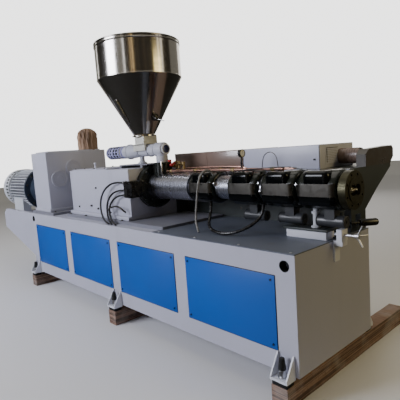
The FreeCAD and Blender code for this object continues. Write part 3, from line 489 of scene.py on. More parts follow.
def sawn_timber(name, colour):
    """Laminated timber: thin plies, long fibres, chips and grey dust."""
    made = Finish(name, colour, 0.82)
    plies = made.noise(1, 2, (0.6, 0.3, 105))
    made.tint(made.between(plies, 0.46, 0.5, 0, 0.95), shade_of(colour, 0.28))
    made.stain((1, 4, (7, 3, 60)), 0.5, 0.7, 0.6, shade_of(colour, 1.55))
    made.stain((1, 5, (9, 60, 110)), 0.55, 0.72, 0.6, shade_of(colour, 0.3))
    made.stain((5, 5), 0.5, 0.75, 0.45, (0.4, 0.37, 0.35))
    made.relief(plies, 0.004, 0.5)
    made.relief(made.noise(1, 5, (12, 60, 160)), 0.003, 0.5)
    return made.material


def wrapping(name, colour):
    """Brown paper, lighter along the crests of its folds, with painted shade in their hollows."""
    made = Finish(name, colour, 0.78)
    folds = made.noise(1, 4, (26, 26, 3))
    # Lighter along the crests that the folds' relief raises.
    made.tint(made.between(folds, 0.52, 0.66, 0, 0.7), shade_of(colour, 1.7))
    # Painted shade: darker in the hollows between the folds.
    made.tint(made.between(folds, 0.46, 0.34, 0, 0.7), shade_of(colour, 0.45))
    made.stain((40, 5), 0.55, 0.75, 0.4, shade_of(colour, 0.6))
    made.relief(folds, 0.02, 0.7)
    made.relief(made.noise(90, 4), 0.002, 0.4)
    return made.material


def braid(name, colour):
    """Woven sheath of grey and pale threads."""
    made = Finish(name, colour, 0.6)
    weave = made.cells(900)
    made.tint(made.between(weave, 0.25, 0.55, 0, 0.8), shade_of(colour, 0.35))
    made.stain((30, 3), 0.45, 0.7, 0.6, shade_of(colour, 1.5))
    made.relief(weave, 0.001, 0.6)
    return made.material


def sight_glass(name, colour):
    """Dark glass with a faint film inside."""
    made = Finish(name, colour, 0.06)
    made.stain((22, 4), 0.45, 0.75, 0.5, shade_of(colour, 2.2))
    made.rough(made.noise(12, 3), 0.04, 0.16)
    made.shader.inputs["Coat Weight"].default_value = 1.0
    return made.material


def finned(name, colour, axis, root, crest):
    """A motor's casting, with painted shade down between the fins."""
    made = Finish(name, colour, 0.42)
    made.stain((6, 5), 0.42, 0.74, 0.35, shade_of(colour, 0.82))
    # Painted shade: near black towards the fins' roots, where the gaps between the fins lie in shade.
    made.tint(made.times(made.between(made.from_axis(axis, root, crest), 1, 0), 0.88),
              (0.035, 0.035, 0.045))
    made.rough(made.noise(18, 4), 0.34, 0.52)
    made.relief(made.noise(210, 4), 0.0012, 0.25)
    return made.material


def duct_paint(name, hood, duct, joint):
    """The flared hood's enamel, and the browner one of the duct before it."""
    made = Finish(name, hood, 0.34)
    made.tint(made.along("X", joint + 0.001, joint - 0.001), duct)
    made.stain((5, 5), 0.45, 0.75, 0.4, shade_of(hood, 0.6))
    made.stain((60, 4), 0.62, 0.76, 0.3, (0.06, 0.05, 0.04))
    made.rough(made.noise(14, 4), 0.26, 0.48)
    made.relief(made.noise(300, 3), 0.0006, 0.2)
    return made.material


def make_finishes(paints):
    """Every finish of the machine, by name."""
    housing = tuple(paints.bed)
    motor_axis = (PLACE["motor_fan_hood"][0].z + PLACE["motor_fan_hood"][1].z) / 2
    return {
        "bed": enamel("bed_enamel", housing, 0.34, 0.1),
        "panel": enamel("panel_enamel", tuple(paints.panel), 0.32, 0.03, coat=0.2),
        "deck": enamel("deck_enamel", tuple(paints.deck), 0.46, 0.6),
        # The bed enamel darkened to 0.44: the plates' own grey, darkened further as painted shade for where they lie
        # under the barrel's flange.
        "shaded_ledge": enamel("ledge_enamel", shade_of(housing, 0.44), 0.42, 0.4),
        "gearbox": enamel("gearbox_enamel", shade_of(housing, 1.04), 0.36, 0.14),
        "motor": cast("motor_enamel", tuple(paints.motor), 0.42),
        "motor_fins": finned("motor_fin_enamel", tuple(paints.motor), motor_axis, 0.2185, 0.226),
        "coupling": cast("coupling_enamel", tuple(paints.coupling), 0.4),
        "shroud": enamel("shroud_enamel", tuple(paints.shroud), 0.11, 0.02, (0.03, 0.035, 0.03), shine=0.25),
        "feeder": cast("feeder_coat", tuple(paints.feeder), 0.44),
        "feeder_motor": cast("feeder_motor_enamel", tuple(paints.feeder_motor), 0.38),
        "neck": enamel("neck_enamel", tuple(paints.neck), 0.36, 0.25),
        "stand": enamel("stand_enamel", tuple(paints.stand), 0.4, 0.35),
        "control": enamel("control_enamel", tuple(paints.control), 0.34, 0.18),
        "duct": enamel("duct_enamel", tuple(paints.duct), 0.22, 0.25, coat=0.5),
        "hood": duct_paint("hood_enamel", tuple(paints.hood), tuple(paints.duct), 1.598),
        "chrome": machined("wheel_chrome", tone(222, 222, 228), 0.42, (60, 60, 60), tarnish=0.06, marks=0.5),
        "tip": machined("tip_steel", tone(226, 222, 208), 0.46, (60, 60, 60), tarnish=0.1),
        "white": enamel("white_enamel", tone(212, 214, 224), 0.4, 0.25),
        "timber": sawn_timber("timber_wood", tuple(paints.timber)),
        "wrap": wrapping("wrap_paper", tuple(paints.wrap)),
        "barrel": machined("barrel_steel", tone(196, 198, 210), 0.27, (160, 2, 2), tarnish=0.04, marks=0.3),
        "die": machined("die_steel", tone(70, 68, 54), 0.42, (30, 120, 120), tarnish=0.4),
        "hopper": machined("hopper_stainless", tone(186, 182, 176), 0.15, (5, 5, 260), tarnish=0.04),
        "bright": machined("bright_steel", tone(208, 208, 212), 0.2, (60, 60, 60)),
        "zinc": machined("zinc_plate", tone(200, 202, 206), 0.34, (40, 40, 40)),
        "dark_steel": machined("dark_steel", tone(86, 84, 80), 0.36, (50, 50, 50), tarnish=0.3),
        "copper": machined("pipe_copper", tone(176, 136, 122), 0.3, (8, 60, 60), (0.12, 0.05, 0.03), 0.3),
        "brass": machined("fitting_brass", tone(150, 130, 92), 0.34, (50, 50, 50), (0.1, 0.06, 0.02), 0.3),
        "iron": cast("black_iron", tone(30, 34, 32), 0.3),
        "rubber": rubbery("black_rubber", tone(20, 20, 22)),
        "gloss_black": rubbery("gloss_black_plastic", tone(12, 12, 14), 0.26),
        "screw_blue": cast("screw_blue", tone(20, 44, 84), 0.35),
        "red": rubbery("red_plastic", tone(176, 40, 44), 0.35),
        "dial": enamel("dial_face", tone(228, 228, 224), 0.45, 0.1),
        "braid": braid("grey_braid", tone(142, 140, 136)),
        "drum": enamel("drum_enamel", tone(16, 22, 17), 0.2, 0.05),
        "blower": cast("blower_enamel", tone(52, 54, 58), 0.38),
        "olive": enamel("olive_enamel", tone(120, 116, 84), 0.34, 0.2),
        "glass": sight_glass("navy_glass", tone(32, 36, 74)),
    }


# Which finish each carried-over CAD part takes.
CARRIED = {
    "bed_body": "bed", "bed_prow": "bed", "deck_plate": "deck", "base_plates": "shaded_ledge", "foot_brackets": "white",
    "motor_body": "motor_fins", "motor_coupling": "coupling", "barrel": "barrel", "screw_tips": "tip",
    "barrel_end_flange": "die", "cooling_blowers": "blower", "handwheel_bracket": "white", "handwheel": "chrome",
    "feed_throat": "iron", "feeder_bracket": "shaded_ledge", "feeder_body": "feeder", "feeder_motor": "feeder_motor",
    "rear_stand": "stand", "rear_duct": "hood", "oil_pipes": "copper", "gearbox_housing": "gearbox",
    "distribution_box": "gearbox",
}

# Every finish by name, filled by main.
finishes = {}


# ---------------------------------------------------------------- cords

# Each route's points are counted from the bed's discharge end, the middle plane and the deck, in metres.
CORDS = {
    "hose_upper": (0.015, 0.736, "medium", "rubber", [
        (-1.595, -0.268, 0.325), (-1.65, -0.268, 0.325), (-1.725, -0.271, 0.327), (-1.805, -0.276, 0.314),
        (-1.88, -0.282, 0.281), (-1.938, -0.288, 0.228), (-1.968, -0.294, 0.16), (-1.958, -0.302, 0.092),
        (-1.905, -0.318, 0.04), (-1.83, -0.338, 0.013), (-1.762, -0.349, 0.004)]),
    "hose_middle": (0.015, 0.583, "medium", "rubber", [
        (-1.595, -0.262, 0.264), (-1.646, -0.262, 0.264), (-1.712, -0.264, 0.262), (-1.782, -0.268, 0.246),
        (-1.846, -0.273, 0.21), (-1.885, -0.28, 0.15), (-1.88, -0.29, 0.088), (-1.838, -0.308, 0.044),
        (-1.778, -0.329, 0.016), (-1.722, -0.346, 0.004)]),
    "hose_lower": (0.015, 0.508, "medium", "rubber", [
        (-1.595, -0.264, 0.227), (-1.64, -0.264, 0.227), (-1.702, -0.268, 0.223), (-1.768, -0.277, 0.2),
        (-1.822, -0.288, 0.152), (-1.83, -0.3, 0.09), (-1.786, -0.314, 0.042), (-1.722, -0.334, 0.014),
        (-1.662, -0.347, 0.004)]),
    "cable_grey": (0.014, 0.514, "limp", "braid", [
        (-0.838, -0.062, 0.362), (-0.837, -0.0824, 0.3892), (-0.84, -0.1168, 0.3997), (-0.846, -0.1509, 0.388),
        (-0.856, -0.175, 0.3536), (-0.866, -0.1836, 0.2922), (-0.876, -0.188, 0.225), (-0.883, -0.194, 0.158),
        (-0.882, -0.204, 0.098), (-0.864, -0.22, 0.046), (-0.83, -0.234, 0.009)]),
    "cable_black": (0.02, 0.717, "limp", "gloss_black", [
        (-0.842, -0.096, 0.1927), (-0.842, -0.096, 0.15), (-0.834, -0.12, 0.098), (-0.808, -0.16, 0.06),
        (-0.764, -0.196, 0.036), (-0.706, -0.22, 0.024), (-0.64, -0.228, 0.018), (-0.574, -0.218, 0.022),
        (-0.516, -0.196, 0.036), (-0.462, -0.164, 0.062), (-0.42, -0.124, 0.102), (-0.398, -0.1, 0.148),
        (-0.398, -0.1, 0.1927)]),
}


def make_cord(name, diameter, length, stiffness, finish, route):
    """Make one hose or cable along its route, and return the route's points."""
    end, deck = PLACE["bed_body"][1].x, PLACE["bed_body"][1].z
    points = [Vector((end + x, y, deck + z)) for x, y, z in route]
    curve = bpy.data.curves.new(f"{name}_line", "CURVE")
    curve.dimensions = "3D"
    curve.bevel_depth = diameter / 2
    curve.bevel_resolution = 4
    curve.use_fill_caps = True
    line_through(curve, points)
    piece = bpy.data.objects.new(f"{name}_run", curve)
    bpy.context.collection.objects.link(piece)
    curve.materials.append(finishes[finish])
    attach(piece, MACHINE)
    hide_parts(name)
    return points


# ---------------------------------------------------------------- pieces

class ExtruderStep:
    """What every step shares: it can be undone, and it reads the sizes and colours of the scene."""
    bl_options = {"REGISTER", "UNDO"}


class EXTRUDER_OT_stage(ExtruderStep, bpy.types.Operator):
    """Camera, soft lights, pale floor, and the drapes and cards that the metal reflects"""
    bl_idname = "extruder.stage"
    bl_label = "Stage"

    def execute(self, context):
        bpy.ops.object.camera_add(location=(2.8125, -1.9741, 1.2878))
        camera = context.active_object
        turn = (Matrix.Rotation(math.radians(48.015), 4, "Z")
                @ Matrix.Rotation(math.radians(90 - 6.604), 4, "X")
                @ Matrix.Rotation(math.radians(-4.013), 4, "Z"))
        camera.rotation_euler = turn.to_euler()
        camera.data.lens = 37.3
        camera.data.sensor_width = 36
        camera.data.clip_end = 100
        context.scene.camera = camera
        for name, place, aim, size, power, colour in (
                ("key", (-2.2, -6.2, 3.4), (0, 0, 0.8), 3.0, 470, (0.86, 0.89, 1.0)),
                ("top", (0, 0.5, 6.5), (0, 0, 0.5), 5.0, 90, (1.0, 0.96, 0.88)),
                ("fill", (4.4, 1.2, 2.2), (1.0, 0, 0.7), 1.6, 33, (1.0, 0.8, 0.36)),
                ("rear", (-3.0, 6.5, 4.0), (0, 0, 0.8), 4.0, 90, (1.0, 0.96, 0.9))):
            bpy.ops.object.light_add(type="AREA", location=place)
            light = context.active_object
            light.name = f"{name}_light"
            light.rotation_euler = (Vector(aim) - Vector(place)).to_track_quat("-Z", "Y").to_euler()
            light.data.size = size
            light.data.energy = power
            light.data.color = colour
        drape = Finish("drape_cloth", (0.045, 0.038, 0.028), 0.9)
        drape.tint(drape.between(drape.noise(1, 2, (1.6, 1.6, 0.02)), 0.5, 0.62, 0, 0.7),
                   (0.12, 0.09, 0.05))
        glow = {}
        for name, colour, strength in (("gold", (1.0, 0.72, 0.36), 0.9), ("pale", (1.0, 0.93, 0.82), 0.9),
                                       ("sky", (1, 1, 1), 2.6)):
            lamp = Finish(f"{name}_glow", colour, 0.9)
            lamp.shader.inputs["Emission Color"].default_value = (*colour, 1)
            lamp.shader.inputs["Emission Strength"].default_value = strength
            glow[name] = lamp
        for name, finish, place, turn, width, height, shades in (
                ("side_drape", drape, (5.0, 3.0, 2.6), 90, 10.0, 5.2, True),
                ("front_drape", drape, (3.9, -4.6, 2.6), 66, 6.0, 5.2, True),
                ("left_drape", drape, (-8.0, -6.0, 3.0), -57, 8.0, 6.0, False),
                ("gold_banner_a", glow["gold"], (3.9, -4.3, 3.0), 45, 0.3, 4.0, False),
                ("gold_banner_b", glow["gold"], (3.4, -4.55, 3.0), 42, 0.16, 4.0, False),
                ("pale_banner_a", glow["pale"], (4.8, 1.75, 3.0), 110, 0.3, 4.0, False),
                ("pale_banner_b", glow["pale"], (4.8, 2.7, 3.0), 118, 0.55, 4.0, False),
                ("left_banner", glow["sky"], (-7.0, -1.2, 3.2), -75, 0.5, 3.0, False),
                ("front_banner", glow["sky"], (2.2, -6.4, 2.2), 12, 0.35, 4.4, False)):
            bpy.ops.mesh.primitive_plane_add(size=1, location=place, rotation=(math.pi / 2, 0,
                                                                               math.radians(turn)))
            card = context.active_object
            card.name = name
            card.scale = (width, height, 1)
            bpy.ops.object.transform_apply(location=True, rotation=True, scale=True)
            card.data.materials.append(finish.material)
            card.visible_camera = card.visible_transmission = False
            card.visible_diffuse = card.visible_shadow = shades
        bpy.ops.mesh.primitive_cylinder_add(vertices=96, radius=24, depth=40, end_fill_type="NOTHING",
                                            location=(0, 0, 19.9))
        backdrop = context.active_object
        backdrop.name = "backdrop"
        backdrop.data.materials.append(glow["sky"].material)
        backdrop.visible_diffuse = backdrop.visible_glossy = False
        backdrop.visible_transmission = backdrop.visible_shadow = False
        felt = Finish("felt_cloth", (0.02, 0.019, 0.017), 0.95)
        felt.rough(felt.noise(3, 2), 0.9, 0.98)
        for name, place, size, shades in (("reflected_floor", (0, 0, 0.004), (26, 26, 1), False),
                                          ("end_felt", (4.3, 1.2, 0.006), (4.6, 7.0, 1), True)):
            bpy.ops.mesh.primitive_plane_add(size=1, location=place)
            mat = context.active_object
            mat.name = name
            mat.scale = size
            bpy.ops.object.transform_apply(location=True, rotation=True, scale=True)
            mat.data.materials.append(felt.material)
            mat.visible_camera = mat.visible_transmission = mat.visible_shadow = False
            mat.visible_diffuse = shades
        bpy.ops.mesh.primitive_plane_add(size=60, location=(0, 0, 0))
        floor = context.active_object
        floor.name = "floor"
        pale = Finish("floor_paint", (0.76, 0.76, 0.78), 0.8)
        pale.rough(pale.noise(0.8, 2), 0.7, 0.8)
        floor.data.materials.append(pale.material)
        world = bpy.data.worlds.new("studio")
        world.use_nodes = True
        world.node_tree.nodes["Background"].inputs["Color"].default_value = (1.0, 0.94, 0.8, 1)
        world.node_tree.nodes["Background"].inputs["Strength"].default_value = 0.26
        context.scene.world = world
        return {"FINISHED"}


class EXTRUDER_OT_cords(ExtruderStep, bpy.types.Operator):
    """Hoses and cables, and the ferrules that the hoses leave from"""
    bl_idname = "extruder.cords"
    bl_label = "Hoses and cables"

    def execute(self, context):
        sleeves = []
        for name, facts in CORDS.items():
            points = make_cord(name, *facts)
            start, way = points[0], (points[1] - points[0]).normalized()
            radius = facts[0] / 2
            if name.startswith("hose"):
                sleeves.append(turned(f"{name}_ferrule", [(radius * 1.02, -0.001), (radius * 1.9, -0.001),
                                                          (radius * 1.9, 0.01), (radius * 1.5, 0.012),
                                                          (radius * 1.5, 0.03), (radius * 1.02, 0.034)],
                                      start, way, 24))
        dressed(joined("hose_ferrules", *sleeves), "zinc", "junction_plastic")
        return {"FINISHED"}


class EXTRUDER_OT_bed(ExtruderStep, bpy.types.Operator):
    """Side covers with their screws and the painted shadow of the gaps round them, lifting sleeves and deck hardware
    """
    bl_idname = "extruder.bed"
    bl_label = "Bed"

    def execute(self, context):
        sizes = context.scene.extruder_sizes
        low, high = PLACE["bed_body"]
        panel_low, panel_high = PLACE["side_panels"]
        covers, gap_shadows = [], []
        half, pitch, proud, gap_shadow = 0.344, 0.805, 0.004, 0.0012
        screw_inset = 0.024
        screw = rod("cover_screws", (0, -0.0042, 0), (0, 0.0002, 0), sizes.panel_screw, 0.0015, 16)
        sunk(screw, lambda centre, normal: normal.y < -0.9, sizes.panel_screw * 0.45, 0.002)
        heads = []
        for side in (-1, 1):
            wall = high.y * side
            outer = wall + side * proud
            for station in (-1.5, -0.5, 0.5, 1.5):
                middle = station * pitch
                near, far = sorted((wall, outer))
                covers.append(block("cover", (middle - half, near, panel_low.z),
                                    (middle + half, far, panel_high.z), 0.0016))
                # Painted shadow: a thin dark frame behind each cover, a little larger than it, stands for the shade
                # in the gap round the cover.
                near, far = sorted((wall, wall + side * gap_shadow))
                gap_shadows.append(block("gap_shadow", (middle - half - 0.004, near, panel_low.z - 0.004),
                                   (middle + half + 0.004, far, panel_high.z + 0.004), 0.0004, 1))
                flip = Matrix.Rotation(math.pi if side > 0 else 0, 4, "Z")
                for across in (-1, 1):
                    for up in (panel_low.z + screw_inset, panel_high.z - screw_inset):
                        spot = Vector((middle + across * (half - screw_inset), outer, up))
                        heads.append(Matrix.Translation(spot) @ flip)
        dressed(joined("bed_covers", *covers), "panel", "blue_paint", "side_panels")
        dressed(joined("cover_gap_shadows", *gap_shadows), "rubber", "foot_rubber")
        dressed(repeated(screw, heads), "screw_blue", "blue_paint")

        sleeves = []
        lifting_inset, lifting_drop = 0.062, 0.06
        for station in (low.x + lifting_inset, high.x - lifting_inset):
            for side in (-1, 1):
                sleeves.append(turned("lifting_sleeve", [
                    (0.0262, -0.05), (0.0262, 0.0004), (0.027, 0.001), (0.0292, 0.001), (0.0298, 0.0004),
                    (0.0298, -0.0004), (0.0278, -0.0006), (0.0278, -0.05), (0.0262, -0.05)],
                    (station, high.y * side, high.z - lifting_drop), Y * side, 48))
        dressed(joined("lifting_sleeves", *sleeves), "iron", "bed_paint")

        plates = PLACE["base_plates"]
        gear, case = PLACE["gearbox_housing"], PLACE["distribution_box"]
        master = bolt("base_bolts", (0, 0, plates[1].z), Z, sizes.case_bolt)
        spots = [(x, y, 0) for x in (gear[0].x - 0.028, gear[1].x + 0.05) for y in (-0.31, -0.1, 0.1, 0.31)]
        spots += [(x, side * 0.283, 0) for x in (-0.9, -0.6, -0.3, 0) for side in (-1, 1)]
        dressed(repeated(master, spots), "dark_steel", "die_steel")
        deck = PLACE["deck_plate"]
        master = rod("deck_screws", (0, 0, deck[1].z - 0.001), (0, 0, deck[1].z + 0.0025), 0.007, 0.001, 16)
        spots = [(x, side * 0.355, 0) for x in (0.58, 0.94, 1.3, 1.64) for side in (-1, 1)]
        dressed(repeated(master, spots), "zinc", "die_steel")
        ledge = block("deck_ledge", (deck[0].x - 0.02, deck[0].y, deck[0].z), (deck[0].x, deck[1].y,
                                                                               deck[1].z + 0.001), 0.001)
        dressed(ledge, "shaded_ledge", "plate_paint")
        return {"FINISHED"}


class EXTRUDER_OT_feet(ExtruderStep, bpy.types.Operator):
    """Levelling feet and the shipping timbers"""
    bl_idname = "extruder.feet"
    bl_label = "Feet and timbers"

    def execute(self, context):
        low, high = PLACE["foot_bolts"]
        bed = PLACE["bed_body"]
        reach = PLACE["foot_brackets"][1].y - bed[1].y
        stations = [Vector((x, side * (bed[1].y + reach / 2), 0))
                    for x in (bed[0].x + FOOT_INSET, 0, bed[1].x - FOOT_INSET) for side in (-1, 1)]
        plate = bed[0].z
        boot = turned("foot_boots", [(0, high.z), (0.01, high.z), (0.0135, high.z - 0.003),
                                     (0.015, high.z - 0.014), (0.0195, plate + 0.052),
                                     (0.02, plate + 0.044), (0.02, plate + 0.0425), (0, plate + 0.0425)],
                      (0, 0, 0), Z, 32)
        sleeve = turned("foot_sleeves", [(0.015, plate + 0.0005), (0.0245, plate + 0.0005),
                                         (0.025, plate + 0.003), (0.0245, plate + 0.006),
                                         (0.0198, plate + 0.0065), (0.0198, plate + 0.041),
                                         (0.0185, plate + 0.0425), (0.015, plate + 0.0425),
                                         (0.015, plate + 0.0005)], (0, 0, 0), Z, 32)
        pad = block("foot_pads", (-0.046, -0.031, low.z), (0.046, 0.031, plate - 0.0122), 0.005, 3)
        groove = 0.4 * low.z + 0.6 * (plate - 0.012)
        sunk(pad, lambda centre, normal: normal.z > 0.9, 0.008, 0.0012)
        stud = rod("foot_studs", (0, 0, groove), (0, 0, plate + 0.01), 0.0146, 0.001, 24)
        dressed(repeated(boot, stations), "rubber", "foot_rubber", "foot_bolts")
        dressed(repeated(sleeve, stations), "zinc", "foot_paint")
        dressed(repeated(pad, stations), "rubber", "foot_rubber")
        dressed(repeated(stud, stations), "zinc", "foot_paint")

        beam_low, beam_high = PLACE["skid_beams"]
        width = 0.1
        timber = block("timber", (-width / 2, beam_low.y, beam_low.z), (width / 2, beam_high.y,
                                                                        beam_high.z), 0.004)
        only(timber)
        bpy.ops.object.mode_set(mode="EDIT")
        for place in range(1, 24):
            along = beam_low.y + (beam_high.y - beam_low.y) * place / 24
            bpy.ops.mesh.select_all(action="SELECT")
            bpy.ops.mesh.bisect(plane_co=(0, along, 0), plane_no=(0, 1, 0))
        bpy.ops.object.mode_set(mode="OBJECT")
        for vertex in timber.data.vertices:
            spread = math.sin(vertex.co.y * 31.0 + vertex.co.z * 47.0) * math.sin(vertex.co.y * 12.7 + 1.3)
            if (abs(vertex.co.x) > width / 2 - 0.0045
                    and beam_low.y + 0.01 < vertex.co.y < beam_high.y - 0.01):
                vertex.co.x -= math.copysign(0.0012 * (1 + spread), vertex.co.x)
        timbers = repeated(timber, [Vector((x, 0, 0)) for x in (bed[0].x + FOOT_INSET, 0,
                                                                bed[1].x - FOOT_INSET)])
        timbers.name = "shipping_timbers"
        dressed(timbers, "timber", "timber", "skid_beams", angle=25)
        return {"FINISHED"}


class EXTRUDER_OT_motor(ExtruderStep, bpy.types.Operator):
    """The drive motor's fan hood with black patches of painted shade for its openings, the end ring and the
    coupling's bolts
    """
    bl_idname = "extruder.motor"
    bl_label = "Drive motor"

    def execute(self, context):
        low, high = PLACE["motor_fan_hood"]
        middle = (low + high) / 2
        radius = (high.z - low.z) / 2
        base = (high.x, middle.y, middle.z)
        length = high.x - low.x
        shell, curve = radius - 0.003, 0.11
        dome = [(radius, 0.018), (shell, 0.02), (shell, 0.15),
                *arc((shell - curve, 0.178), curve, math.pi / 20, math.pi / 2, 9)]
        dome += [(0.11, length - 0.0005), (0.104, length - 0.006), (0.04, length - 0.006),
                 (0.036, length - 0.0005), (0, length - 0.0005)]
        hood = turned("fan_hood", [(0, 0.001), (radius - 0.01, 0.001), (radius, 0)] + dome, base, -X, 96)
        dressed(hood, "motor", "motor_paint", "motor_fan_hood")

        # Painted shade: thin black patches on the hood's end and side stand for the dark seen through its openings.
        slot = block("fan_slot_shade", (low.x + 0.0002, -0.004, middle.z + 0.045), (low.x + 0.004, 0.004,
                                                                               middle.z + 0.1), 0.001, 1)
        inner = repeated(slot, round_about((0, 0, middle.z), "X", 28))
        vent = block("side_slot_shade", (high.x - 0.1, -0.0115, middle.z + radius - 0.007),
                     (high.x - 0.026, 0.0115, middle.z + radius - 0.0016), 0.0006, 1)
        outer = repeated(vent, round_about((0, 0, middle.z), "X", 36))
        dressed(joined("fan_slot_shade", inner, outer), "rubber", "motor_paint")

        body = PLACE["motor_body"]
        ring = turned("motor_end_ring", [(0.22, -0.022), (0.24, -0.022), (0.2425, -0.019), (0.2425, -0.003),
                                         (0.24, -0.0005), (0.22, -0.0005), (0.22, -0.022)],
                      (body[1].x, 0, middle.z), X, 96)
        dressed(ring, "white", "motor_paint")
        master = bolt("coupling_bolts", (body[1].x + 0.034, 0, middle.z + 0.222), X, 0.013)
        bolts = repeated(master, round_about((0, 0, middle.z), "X", 12, 0.26))
        dressed(bolts, "dark_steel", "coupling_paint")
        return {"FINISHED"}


class EXTRUDER_OT_gearboxes(ExtruderStep, bpy.types.Operator):
    """Housing lids, covers, bolts, breather, drain pipe, junction box and the wrapped spare"""
    bl_idname = "extruder.gearboxes"
    bl_label = "Gearboxes"

    def execute(self, context):
        sizes = context.scene.extruder_sizes
        low, high = PLACE["gearbox_housing"]
        housing = block("gearbox_case", low, high, sizes.edge_round, 3)
        dressed(housing, "gearbox", "gearbox_paint", "gearbox_housing")
        lid = block("gearbox_lid", (low.x + 0.03, low.y + 0.04, high.z - 0.002),
                    (high.x - 0.03, high.y - 0.04, high.z + 0.01), 0.003)
        foot = block("gearbox_foot", (low.x - 0.012, low.y - 0.014, low.z), (high.x + 0.012, high.y + 0.014,
                                                                             low.z + 0.03), 0.004)
        dressed(joined("gearbox_plates", lid, foot), "gearbox", "gearbox_paint")
        caps = []
        for name, y, z in (("low", -0.205, 1.115), ("high", -0.043, 1.218)):
            caps.append(turned(f"cap_{name}", [(0, 0.013), (0.03, 0.013), (0.034, 0.01), (0.06, 0.01),
                                               (0.064, 0.0135), (0.086, 0.0135), (0.0895, 0.011),
                                               (0.0895, 0.0002), (0, 0.0002)], (high.x, y, z), X, 64))
        dressed(joined("bearing_caps", *caps), "gearbox", "gearbox_paint", "gearbox_covers")

        low, high = PLACE["distribution_box"]
        narrow = 0.24
        case = block("distribution_case", (low.x, -narrow, low.z + 0.02), (high.x, narrow, high.z),
                     sizes.edge_round, 3)
        foot = block("distribution_foot", (low.x, low.y, low.z), (high.x, high.y, low.z + 0.031), 0.004)
        lid = block("distribution_lid", (low.x + 0.02, -narrow + 0.02, high.z - 0.001),
                    (-0.27, narrow - 0.02, high.z + 0.0075), 0.003)
        dressed(joined("distribution_housing", case, foot, lid), "gearbox", "gearbox_paint",
                "distribution_box")
        master = bolt("case_bolts", (0, -narrow, 0), -Y, sizes.case_bolt * 0.8)
        spots = [(-0.79, 0, 0.862), (-0.445, 0, 1.041)]
        flipped = [Matrix.Rotation(math.pi, 4, "Z") @ Matrix.Translation(spot) for spot in spots]
        dressed(repeated(master, [Matrix.Translation(spot) for spot in spots] + flipped), "dark_steel",
                "die_steel")
        master = bolt("box_lid_bolts", (0, 0, high.z + 0.0075), Z, 0.01)
        spots = [(x, side * 0.2, 0) for x in (-0.88, -0.7, -0.52, -0.34) for side in (-1, 1)]
        dressed(repeated(master, spots), "dark_steel", "die_steel")
        breather = turned("breather", [(0, 0.062), (0.01, 0.062), (0.013, 0.058), (0.013, 0.046),
                                       (0.008, 0.044), (0.008, 0.016), (0.015, 0.014), (0.015, 0.006),
                                       (0, 0.006)], (-0.7, -0.09, high.z), Z, 24)
        dressed(breather, "white", "gearbox_paint")

        drain = bent_pipe("drain_handle", [(-0.19, -0.262, 0.842), (-0.184, -0.286, 0.862),
                                           (-0.165, -0.292, 0.884), (-0.12, -0.293, 0.897),
                                           (-0.06, -0.293, 0.907), (-0.01, -0.292, 0.905),
                                           (0.028, -0.288, 0.885), (0.044, -0.266, 0.858)], 0.007)
        plugs = [turned("plug", [(0, 0.014), (0.006, 0.014), (0.007, 0.012), (0.007, 0.006), (0.01, 0.006),
                                 (0.01, -0.001), (0, -0.001)], spot, -Y, 20)
                 for spot in ((-0.548, -narrow, 0.882), (-0.43, -narrow, 0.862))]
        dressed(joined("case_plugs", *plugs), "dark_steel", "die_steel")
        dressed(drain, "dark_steel", "die_steel")

        low, high = PLACE["junction_box"]
        box = block("junction_case", low, high, 0.005, 3)
        sunk(box, lambda centre, normal: normal.y < -0.9, 0.008, 0.002)
        sunk(box, lambda centre, normal: normal.x > 0.9, 0.008, 0.002)
        dressed(box, "gloss_black", "junction_plastic", "junction_box")

        low, high = PLACE["wrapped_cap"]
        middle, radius, height = (low + high) / 2, (high.x - low.x) / 2, high.z - low.z
        outline = [(0, 0), (radius * 0.86, 0)] + [(radius * 0.88, height * share / 12)
                                                  for share in range(1, 8)]
        for step in range(1, 11):
            angle = math.pi / 2 * step / 10
            outline.append((radius * 0.88 * math.cos(angle), height * (0.62 + 0.36 * math.sin(angle))))
        parcel = turned("wrapped_spare", outline, (middle.x, middle.y, low.z), Z, 96)
        for vertex in parcel.data.vertices:
            x, y, z = vertex.co.x - middle.x, vertex.co.y - middle.y, (vertex.co.z - low.z) / height
            around = math.atan2(y, x)
            deep = 0.075 * math.sin(13 * around + 1.3 * math.sin(5 * z))
            fine = 0.045 * math.sin(29 * around + 9 * z)
            swell = 1 + (deep + fine) * min(1.0, 1.3 * z + 0.25) - 0.05 * math.sin(2.6 * z)
            vertex.co.x, vertex.co.y = middle.x + x * swell, middle.y + y * swell
        dressed(parcel, "wrap", "wrap_paper", "wrapped_cap", angle=60)
        return {"FINISHED"}


